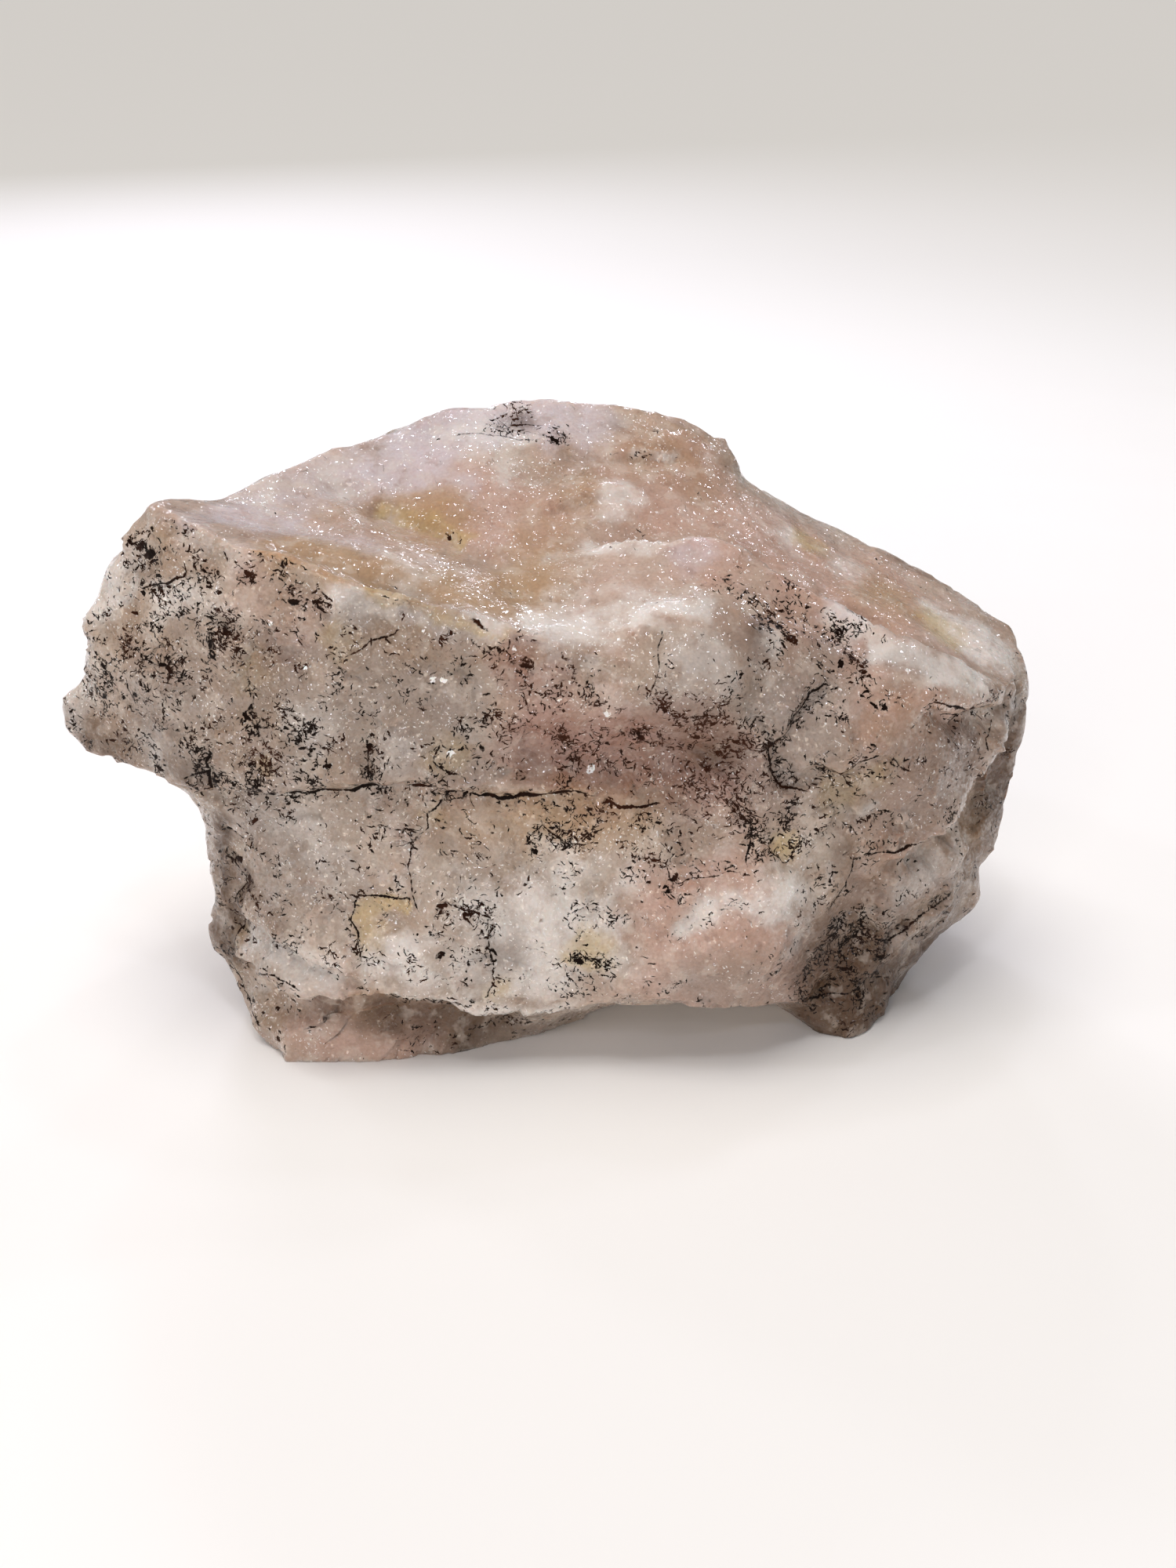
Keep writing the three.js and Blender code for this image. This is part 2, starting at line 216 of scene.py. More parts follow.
# Cracks, in mm on the stone: name, how open (mm), and the way they run.
CRACKS = {
    # the parting that splits the front across, from the left lobe to under the boss
    "parting": (0.7, [(-82, -36, 54), (-73.5, -42, 55.5), (-69, -42, 55), (-64, -46.5, 56.5),
                      (-59.5, -49.5, 57), (-54.5, -49, 57.7), (-49, -49.5, 58.5), (-44.5, -50, 59.8),
                      (-38, -50.5, 61), (-34.5, -51, 61), (-30, -53.5, 62.3), (-28.5, -52, 61.5),
                      (-26, -52, 61), (-22, -52, 60), (-19, -53.5, 60.3), (-16, -52.5, 59.2),
                      (-14, -51, 59), (-8, -50, 58), (-4, -50.5, 58.5), (2, -49.5, 58.5), (9, -49, 57)]),
    "parting_start": (0.5, [(-77, -39.5, 55.2), (-73.5, -42, 55.5), (-69, -42, 55), (-64, -46.5, 56.5),
                            (-59.5, -49.5, 57)]),
    "parting_end": (0.4, [(8, -50, 56.5), (15, -50.5, 55), (21, -49.5, 55.5)]),
    "knot": (0.6, [(-67, -45, 67), (-69, -45, 62), (-68, -44, 59), (-68, -44, 56)]),
    "knot_branch": (0.24, [(-73, -43, 59), (-69, -44, 61)]),
    "seam": (0.27, [(-36, -52, 72), (-35, -54, 68), (-35, -53, 63)]),
    "left_upright": (0.24, [(-56, -47, 80), (-57, -48, 73), (-57, -49, 70)]),
    "left_fan": (0.18, [(-57, -47, 77), (-61, -48, 73)]),
    "corner": (0.4, [(-80, -32, 93), (-76, -34, 96), (-72, -38, 98), (-70, -39, 99), (-70, -38, 102)]),
    "hook": (0.2, [(-43, -49, 88), (-40, -49, 87.5), (-36, -50, 88.5), (-33, -50, 90.5), (-28, -50, 92.5)]),
    "hook_small": (0.24, [(-62, -40, 105), (-61, -41, 103)]),
    "branch": (0.24, [(-15, -52, 59), (-19, -53, 58), (-22, -52, 56), (-25, -52, 55), (-25, -53, 52),
                      (-26, -53, 51)]),
    "branch_left": (0.2, [(-35, -53, 53), (-31, -53, 53), (-29, -53, 52), (-26, -53, 51)]),
    "left_loop": (0.24, [(-69, -41, 40), (-66, -42, 40), (-64, -43, 38), (-63, -45, 35), (-65, -44, 30),
                         (-66, -43, 24), (-69, -42, 18)]),
    "left_edge": (0.23, [(-73, -37, 17), (-68, -42, 10), (-64, -47, 6), (-60, -51, 5)]),
    "slab_foot": (0.16, [(-68, -41, 15), (-62, -49, 18), (-57, -56, 21), (-53, -59, 20), (-49, -60, 19)]),
    "under_cream": (0.3, [(-40, -60, 17), (-36, -60, 17), (-32, -59, 14), (-28, -59, 15), (-24, -58, 13)]),
    "upright": (0.26, [(-27, -53, 50), (-29, -54, 50), (-28, -55, 46), (-28, -56, 42), (-28, -57, 39),
                       (-27, -57, 36)]),
    "step": (0.26, [(-28, -57, 40), (-33, -57, 39), (-38.5, -56, 38.5), (-40, -56, 34), (-39, -57.5, 31),
                    (-39, -58, 28), (-38, -59, 25)]),
    "lower_upright": (0.2, [(-12, -57, 35), (-13, -59, 29), (-12, -59, 25), (-13, -60, 22), (-14, -60, 17)]),
    "black_nest": (0.23, [(-23, -56, 38), (-20, -58, 38), (-18, -59, 38), (-15, -58, 36), (-11, -57, 35)]),
    "black_low": (0.23, [(4, -59, 29), (6, -59, 27), (10, -59, 25)]),
    "strip_foot": (0.26, [(-6, -54, 49), (-1, -52, 51.5), (3, -52, 49), (8, -53, 49)]),
    "pocket": (0.2, [(-2, -52, 54), (-1.5, -51.5, 52), (-0.5, -52, 51)]),
    "short_a": (0.18, [(-5, -52, 81), (-5, -51, 76)]),
    "short_b": (0.18, [(-17, -52, 76), (-18, -52, 72)]),
    "short_c": (0.3, [(16, -48, 72), (16.5, -46.5, 69.5), (19, -46, 67)]),
    "short_d": (0.2, [(21, -48.5, 72.5), (21.5, -45, 66)]),
    "short_e": (0.24, [(22, -52, 81), (20.5, -50.5, 78.5), (21.5, -50.5, 77)]),
    "stain_edge": (0.21, [(-21, -54, 72), (-22, -55, 68), (-20, -55, 65), (-18, -54, 65)]),
    "boss_thread": (0.16, [(20, -44.5, 89.5), (19.5, -48.5, 87.5), (19, -51.5, 83.5), (19, -52, 81)]),
    "low_thread": (0.18, [(18, -53, 45), (21, -53, 45), (23, -55, 41), (30, -54, 41), (37, -53, 43)]),
    "chain": (0.34, [(34.5, -48.5, 57), (36.5, -49.5, 54), (39, -51.5, 52), (38, -52, 49),
                     (37.5, -53, 43.5)]),
    # the stepped crack from the right-hand block down round the boss
    "diagonal": (0.36, [(52.5, -41.5, 80.5), (51.5, -42.5, 77.5), (49, -44, 75.5), (46, -45, 73.5),
                        (45.5, -45, 71), (43, -45, 67.5), (41, -46.5, 66), (41.5, -46, 62.5),
                        (43, -46.5, 60.5), (45, -48, 58.5), (50, -47.5, 57.5)]),
    "diagonal_branch": (0.26, [(35.5, -47.5, 69), (37, -46.5, 66), (41, -46, 65.5)]),
    "block_arc": (0.18, [(37, -47.5, 71), (38, -47, 72.5), (40.5, -47, 74)]),
    "lip": (0.5, [(72, -42, 73.5), (77.5, -39.5, 72), (81.5, -35.5, 69.5), (87, -28, 66), (90, -28, 70)]),
    "flake": (0.24, [(50, -47.5, 65), (52.5, -47, 62.5), (56.5, -46.5, 61.5), (60, -48, 65), (63.5, -46, 65),
                     (65.5, -44.5, 64)]),
    "flake_fork": (0.26, [(56, -46, 61), (57.5, -46.5, 60), (59, -46.5, 58.5)]),
    "flake_right": (0.15, [(65, -45, 64), (67, -45, 61), (70, -44, 60)]),
    "honey_ring": (0.21, [(44, -51, 49), (42, -51, 48), (42, -52, 47), (45, -52, 44), (48, -51, 45)]),
    "rim_stroke": (0.18, [(-16, -50, 95), (-14, -50, 94), (-12, -50, 93)]),
    "crease": (0.22, [(58.5, -46.5, 43), (59.5, -45.5, 38), (57.5, -47.5, 34.5), (55, -49, 31)]),
    "low_curl": (0.22, [(60.5, -44.5, 25.5), (63.5, -45, 23.5), (63.5, -44, 20)]),
    # the dark lines drawn along the right ledge and the foot's edge are painted shade at those edges
    "right_ledge": (0.14, [(83, -33.5, 29), (79, -35.5, 25.5), (75, -39, 23.5), (71.5, -41.5, 20.5),
                           (67, -41.5, 19.5)]),
    "foot_edge": (0.2, [(47.5, -53.5, 11.5), (53, -47, 9), (59.5, -45.5, 9), (64.5, -45, 11),
                        (66, -43.5, 15.5), (68, -43, 18)]),
    "nodule": (0.24, [(90, -25.5, 63), (89, -27, 62), (88.5, -29.5, 60.5), (89, -29.5, 57.5)]),
    "facet_foot": (0.24, [(78, -40, 44), (75, -42, 43), (70, -45, 44), (67, -45.5, 44), (62, -46, 42)]),
    "peak_a": (0.12, [(-22, 4, 114), (-16, 5, 115), (-10, 5, 114), (-3, 5, 113)]),
    "peak_b": (0.21, [(-15, 9, 117), (-10, 11, 118)]),
    "peak_c": (0.21, [(-13, 8, 116), (-8, 8, 116), (-2, 7, 115)]),
    # hidden side: cracks of the same kind
    "back_a": (0.3, [(-60, 24, 90), (-52, 32, 78), (-49, 38, 66), (-52, 37, 52), (-48, 38, 40)]),
    "back_b": (0.27, [(-12, 58, 84), (-8, 60, 68), (-2, 60, 60), (2, 58, 42), (-3, 55, 28)]),
    "back_c": (0.24, [(-2, 60, 60), (14, 60, 62), (28, 58, 60)]),
    "back_d": (0.3, [(60, 40, 74), (66, 34, 62), (72, 30, 58), (78, 22, 44)]),
}

# Black clots of mica, in mm on the stone: where each sits and how far it reaches.
CLOTS = [
    # the left lobe
    (-80, -31, 102, 1.9), (-78, -33, 101, 1.6), (-82, -29, 103, 1.4), (-76, -35, 97, 0.9),
    (-74, -37, 97, 0.7), (-66, -41, 99, 0.7), (-57, -44, 101, 1.0), (-56, -44, 100, 0.9),
    (-80, -33, 93, 0.7), (-82, -32, 90, 0.7), (-89, -30, 87, 0.8), (-81, -35, 87, 1.2), (-77, -36, 89, 0.6),
    (-88, -31, 83, 0.6), (-90, -31, 79, 1.1), (-89, -32, 77, 1.0), (-68, -41, 93, 0.8), (-70, -40, 92, 0.6),
    (-83, -34, 84, 1.2), (-75, -40, 81, 1.1), (-74, -40, 79, 0.9), (-64, -43, 88, 2.2), (-62, -44, 90, 1.4),
    (-65, -43, 86, 1.6), (-66, -43, 84, 1.0), (-59, -44, 94, 1.3), (-60, -44, 92, 0.9), (-60, -45, 86, 1.5),
    (-54, -47, 87, 1.1), (-49, -47, 92, 0.7), (-37, -49, 93, 0.8), (-49, -46, 99, 1.4), (-48, -46, 97, 0.9),
    (-44, -47, 97, 1.4), (-42, -47, 96, 1.0), (-35, -50, 90, 0.8), (-48, -49, 85, 0.8), (-57, -49, 72, 1.0),
    (-56, -48, 80, 0.6), (-59, -48, 74, 0.6), (-68, -46, 65, 0.9), (-68, -46, 59, 2.0), (-67, -46, 57, 1.3),
    (-70, -45, 61, 0.9), (-59, -49, 64, 1.0), (-55, -50, 68, 1.1), (-57, -50, 61, 0.8), (-63, -48, 60, 0.8),
    (-47, -52, 63, 0.8), (-43, -53, 65, 0.7), (-52, -48, 88, 1.2), (-56, -50, 66, 1.4), (-55, -50, 64, 1.0),
    (-46, -51, 73, 1.2), (-48, -51, 70, 0.9), (-35, -55, 65, 1.1), (-35, -53, 70, 0.8), (-90, -34, 62, 1.1),
    (-95, -31, 60, 1.2), (-80, -39, 69, 1.0), (-98, -28, 63, 0.6), (-91, -31, 71, 0.6), (-79, -40, 59, 0.7),
    # the middle, over and under the parting
    (-10, -50, 89, 0.9), (-5, -50, 86, 1.3), (2, -49, 87, 0.6), (-12, -52, 79, 0.6), (-15, -52, 82, 0.8),
    (-11, -52, 76, 0.9), (-7, -52, 76, 1.0), (3, -49, 70, 1.3), (1, -50, 68, 0.8), (16, -48, 70, 0.8),
    (21, -48, 70, 0.6), (21, -50, 77, 0.8), (30, -49, 74, 1.2), (28, -48, 70, 1.2), (33, -49, 78, 0.7),
    (26, -47, 59, 0.9), (32, -47, 65, 2.2), (30, -46, 63, 1.8), (34, -47, 67, 1.6), (40, -47, 67, 1.1),
    (35, -49, 55, 1.2), (37, -50, 53, 1.1), (39, -51, 50, 1.0), (7, -51, 60, 0.7), (-9, -52, 59, 1.0),
    (-16, -54, 62, 0.9), (-2, -52, 54, 0.3), (2, -52, 49, 0.5), (7, -52, 48, 0.4), (-4, -54, 48, 0.4),
    (-10, -54, 49, 0.4), (19, -53, 45, 1.0), (23, -53, 45, 0.8), (22, -55, 40, 0.8), (24, -55, 42, 0.7),
    (-22, -57, 37, 1.2), (-17, -58, 36, 1.2), (-15, -58, 35, 1.0), (-12, -58, 36, 1.4), (5, -59, 27, 1.2),
    (10, -60, 25, 0.8), (-12, -60, 26, 0.9), (-13, -59, 28, 0.7), (-12, -60, 21, 0.6), (-22, -60, 27, 0.6),
    (-28, -60, 26, 0.6), (-28, -58, 32, 0.5),
    # the right-hand block, the boss and the foot
    (40, -39, 88, 1.0), (43, -37, 88, 1.1), (45, -39, 86, 1.1), (55, -25, 87, 0.9), (59, -31, 85, 1.2),
    (56, -33, 85, 1.0), (58, -38, 82, 1.2), (60, -38, 81, 1.1), (56, -40, 81, 1.0), (51, -38, 85, 0.9),
    (47, -38, 85, 0.8), (62, -41, 78, 0.6), (61, -42, 76, 0.8), (63, -43, 74, 0.8), (43, -43, 83, 0.6),
    (45, -43, 81, 0.7), (61, -45, 50, 1.0), (51, -48, 54, 0.9), (52, -48, 49, 0.8), (48, -50, 47, 0.6),
    (59, -46, 34, 0.7), (63, -45, 23, 0.7), (69, -44, 21, 1.4), (67, -44, 18, 1.6), (67, -45, 13, 2.0),
    (64, -47, 10, 2.2), (56, -48, 26, 1.0), (54, -50, 22, 0.9), (60, -47, 17, 1.0), (51, -51, 18, 0.7),
    # the left end
    (-64, -45, 29, 0.9), (-56, -52, 28, 0.7), (-60, -46, 51, 0.8), (-66, -42, 47, 0.6), (-45, -58, 28, 0.5),
    (-18, -60, 22, 0.9), (-9, -60, 28, 0.6), (-65, -43, 41, 1.0), (-62, -45, 37, 1.1),
    # the dark veil on the peak
    (-9, 11, 118, 0.3), (-3, 5, 113, 0.7), (-1, 7, 115, 0.6), (-1, 5, 113, 0.8),
]

# Painted glints: white spots painted where cleavage flakes flash white, in mm on the stone, each 1 to 2 mm
# across.
PAINTED_GLINTS = [
    (9.5, -46.5, 65.5, 0.8), (7, -48, 63, 1.0), (-1, -51, 79.5, 0.6), (-5, -51, 83.5, 0.7),
    (1, -51, 78.5, 0.6), (5.5, -51, 76.5, 0.5), (10, -51, 76, 0.9), (13.5, -50.5, 77.5, 0.4),
    (-22.5, -52, 83.5, 0.8), (-20.5, -52, 83.5, 0.7), (-19.5, -53.5, 69, 0.8), (-10.5, -52, 69.5, 0.5),
    (-10, -52, 64.5, 0.6), (17.5, -48, 56.5, 0.5), (35, -47, 85, 0.6), (30, -50, 76.5, 0.5),
    (-46.5, -49.5, 85, 0.6), (-24, -50.5, 93, 0.6), (-66, -43, 79, 0.5), (-71.5, -38, 95.5, 0.6),
    (-53, -46.5, 92.5, 0.5), (12.5, -51.5, 49.5, 0.5), (-16.5, -53.5, 53, 0.7), (-35.5, -59, 25.5, 0.6),
    (-43, -60, 25, 0.6), (35.5, -56.5, 38, 0.8), (46.5, -45, 78.5, 0.5), (46, -37, 87, 0.5),
    (2, -51.5, 79.5, 0.5), (-5.5, -50.5, 85.5, 0.5), (-7.5, -50.5, 89, 0.6),
]

# Relief, in mm: what the break left on the surface. A crack runs in a groove, and a step has a steep part.
GROOVE_WIDTH = 1.2
GROOVE_DEPTH = 1.8     # in widths of the crack
STEEP_HALF = 0.8
STEPS = {
    # name: (height of the left side over the right one, how far it takes to run out, line)
    "slab_upper": (2.4, 8, [(-71, -37, 31), (-64, -45, 28), (-57, -52, 27), (-49, -57, 25), (-41, -60, 23),
                            (-34, -60, 22)]),
    "slab_lower": (2.0, 6, [(-70, -40, 18), (-64, -47, 18), (-57, -55, 19), (-50, -58, 17), (-40, -60, 17)]),
    "diagonal": (-2.2, 9, CRACKS["diagonal"][1]),
    "flake": (1.8, 8, CRACKS["flake"][1]),
    "parting": (0.7, 9, CRACKS["parting"][1]),
    "upright": (-0.9, 7, CRACKS["upright"][1]),
    "step": (0.8, 6, CRACKS["step"][1]),
    "right_ledge": (2.6, 9, CRACKS["right_ledge"][1]),
    "lip": (2.2, 7, [(68, -40, 73), (73, -38, 71), (79, -34, 69), (86, -28, 66), (92, -22, 65)]),
    "bottom_edge": (2.4, 6, [(-66, -44, 16), (-56, -54, 18), (-44, -60, 17), (-33, -60, 18), (-24, -60, 16),
                             (-14, -59, 11), (-4, -57, 10)]),
    "facet_edge": (-4.0, 7, [(92, -22, 62), (89, -26, 55), (84, -32, 50), (79, -37, 45), (72, -42, 42),
                             (64, -46, 41)]),
    "fold": (1.6, 10, [(-42, -9, 104), (-36, -12, 103), (-31, -13, 102), (-25, -16, 101), (-20, -19, 100),
                       (-13, -24, 98), (-8, -29, 96)]),
    "boss_rim": (0.9, 7, [(13, -48, 89), (17, -45, 91), (21, -41, 93), (26, -38, 94), (32, -38, 93),
                          (37, -41, 90), (40, -43, 86)]),
    "crest": (-3.0, 9, [(3, -18, 97), (11, -19, 98), (19, -21, 98), (28, -20, 98), (36, -19, 96),
                        (45, -24, 92), (58, -27, 87), (74, -28, 80), (88, -22, 72)]),
    "peak_shelf": (1.6, 6, [(-4, -12, 102), (1, -9, 104), (8, -7, 105), (14, -6, 106), (19, -7, 104)]),
    "peak_top": (1.4, 7, [(-2, 4, 112), (8, 3, 111), (19, 4, 110), (29, 6, 108)]),
    "back_a": (1.6, 9, CRACKS["back_a"][1]),
    "back_b": (-1.4, 9, CRACKS["back_b"][1]),
}
RIDGES = {
    # name: (height, half width, line)
    "boss_rim": (0.9, 2.4, [(14, -47, 89), (21, -42, 92), (26, -39, 93), (31, -39, 92), (36, -41, 90),
                            (39, -43, 87)]),
    "trough_rim": (1.2, 1.8, [(-57, -40, 106), (-46, -46, 103), (-39, -46, 101), (-27, -48, 98),
                              (-16, -50, 95), (-9, -50, 91), (1, -49, 89)]),
    "trough": (-1.6, 4.0, [(-54, -37, 105), (-45, -40, 103), (-36, -42, 101), (-26, -43, 98),
                           (-16, -43, 96)]),
    "lip": (1.5, 4.0, [(66, -37, 79), (72, -36, 77), (78, -33, 75), (84, -29, 72), (90, -23, 69)]),
    "crest": (1.2, 2.4, [(3, -19, 97), (11, -20, 98), (19, -22, 98), (28, -21, 98), (37, -21, 97),
                         (46, -26, 92), (58, -29, 87), (72, -30, 81)]),
    "pale_ridge": (1.0, 3.0, [(8, -60, 20), (15, -60, 20), (25, -60, 25), (31, -59, 29), (40, -58, 32)]),
    "crevice": (-1.0, 2.2, [(-41, -10, 104), (-36, -12, 103), (-31, -13, 102), (-25, -16, 101),
                            (-20, -19, 100), (-14, -23, 98)]),
    "gully": (-2.4, 4.5, [(34, -15, 96), (45, -20, 92), (58, -23, 86), (74, -24, 80)]),
    "recess": (-3.2, 4.5, [(-42, -58, 13), (-33, -57, 13), (-24, -56, 10), (-14, -54, 8), (-4, -52, 6)]),
    "recess_low": (-1.2, 3.5, [(-60, -50, 12), (-51, -56, 12), (-42, -58, 12)]),
    "right_hollow": (-1.4, 6, [(92, -20, 55), (90, -25, 46), (84, -33, 38)]),
    "foot_neck": (-1.5, 3.0, [(51, -50, 10), (58, -49, 11), (66, -46, 11), (74, -40, 13)]),
}
MOUNDS = [
    # (place, radius, height): swellings and hollows
    ((28, -49, 84), (16, 14, 12), 1.3),    # the boss
    ((24, -47, 64), (17, 12, 9), -0.9),    # dark hollow under it
    ((2, -50, 68), (14, 12, 8), -0.8),
    ((38, -58, 26), (17, 12, 12), 1.8),    # pink bulge low on the front
    ((-29, -54, 70), (8, 8, 7), 0.9),
    ((-45, -52, 78), (12, 10, 9), 0.8),
    ((-6, -35, 94), (7, 7, 6), -1.2),      # stained hollows of the basin
    ((-43, -9, 106), (6, 5, 5), -1.0),
    ((-100, -27, 65), (6, 8, 6), 0.9),     # left nose
    ((73, -41, 60), (10, 10, 9), 0.8),
    ((60, -46, 24), (8, 10, 12), -1.4),
    ((-56, -50, 42), (12, 10, 10), 0.8),
    ((44, -55, 38), (9, 9, 6), 1.0),
    ((91, -24, 60), (4, 5, 5), 1.5),
    ((-25, -57, 24), (13, 10, 9), 0.9),
    ((-17, -10, 106), (12, 9, 8), 1.2),    # shoulder of the peak over the fold
    ((12, -8, 104), (9, 6, 5), 0.8),
    ((42, -41, 87), (4, 4, 4), 0.5),
    ((-93, -28, 77), (7, 9, 6), 1.6),
]

FLATS = [
    # (middle, radius, the way it faces, how flat): plane facets among the hackly break
    ((-45, -57, 4.5), (19, 9, 9), (0, -1, 0.03), 0.95),
    ((72.5, -41.5, 65), (11, 10, 10), (0.53, -0.83, 0.19), 0.6),
]

p, facing = places()
up = facing[:, 2]
smooth_top = ramp(up, 0.45, 0.8) * ramp(p[:, 2], 60, 80)     # the worn parting face
hidden = ramp(p[:, 1], -8, 12)     # the half that faces away from the front
# How strong the hackly break is: weak on the worn top, on the boss and on the smooth ledge at the right.
rough = (1 - 0.75 * smooth_top) * (1 - 0.6 * spot(p, (28, -48, 86), (18, 14, 13)))
rough *= 1 - 0.75 * spot(p, (74, -35, 78), (26, 12, 12))
bend = np.stack([grain(p, 9, 31), grain(p, 9, 32), grain(p, 9, 33)], 1)
ripple = np.stack([grain(p, 3.3, 34), grain(p, 3.3, 35), grain(p, 3.3, 36)], 1)
sway = 1.1 * bend + 0.8 * ripple     # what makes a drawn line run as raggedly as a real break
wandering = p + sway
height = np.zeros(len(p))
for rise, reach, line in STEPS.values():
    far, along, side = trail(wandering, facing, line)
    here = fade(along, 0.15) * (1 - ramp(far, STEEP_HALF, reach))
    height += rise * here * np.clip(side * far / STEEP_HALF, -1, 1) * 0.5
for rise, width, line in RIDGES.values():
    far, along, side = trail(wandering, facing, line)
    height += rise * fade(along, 0.2) * np.exp(-((far / width) ** 2))
for gape, line in CRACKS.values():
    far, along, side = trail(wandering, facing, line)
    height -= GROOVE_DEPTH * gape * fade(along, 0.1) * np.exp(-((far / GROOVE_WIDTH) ** 2))
for at, radius, rise in MOUNDS:
    height += rise * spot(p, at, radius)
# The hackly break has waves 12 mm wide, chips 7.5 and 3 mm wide and a grain, and on the hidden side flat
# chips 24 mm wide. The worn top has low swellings, drawn out along X.
height += rough * (0.85 * layered(p + 2.2 * bend, 12, 2, 41, 0.5)
                   + 0.22 * chips(p + 2 * bend + ripple, 7.5, 43))
height += rough * (0.06 * chips(p + ripple, 3.0, 44) + 0.08 * grain(p, 2.4, 48))
height += smooth_top * (0.45 * layered(p * (1, 1.6, 1), 13, 2, 51) + 0.07 * grain(p, 3.4, 52))
height += rough * hidden * 0.15 * chips(p + 2.5 * bend + ripple, 24, 45)
moved = p + facing * height[:, None]
for at, radius, way, flat in FLATS:
    way = np.array(way) / np.linalg.norm(way)
    here = flat * np.minimum(1, 2 * spot(p, at, radius)) * ramp(facing @ way, 0.0, 0.3)
    moved -= (here * ((moved - at) @ way))[:, None] * way
# The resting face stays flat, and the skin stays inside the solid's box.
half_long, half_deep, tall = [v / MM for v in cad_box[1]]
flat_foot = ramp(p[:, 2], 0.2, 3.0)
moved[:, 2] = p[:, 2] + (moved[:, 2] - p[:, 2]) * flat_foot
moved = np.clip(moved, (-half_long, -half_deep, 0), (half_long, half_deep, tall))
skin.vertices.foreach_set("co", (moved * MM).ravel())
skin.update()
skin.shade_smooth()
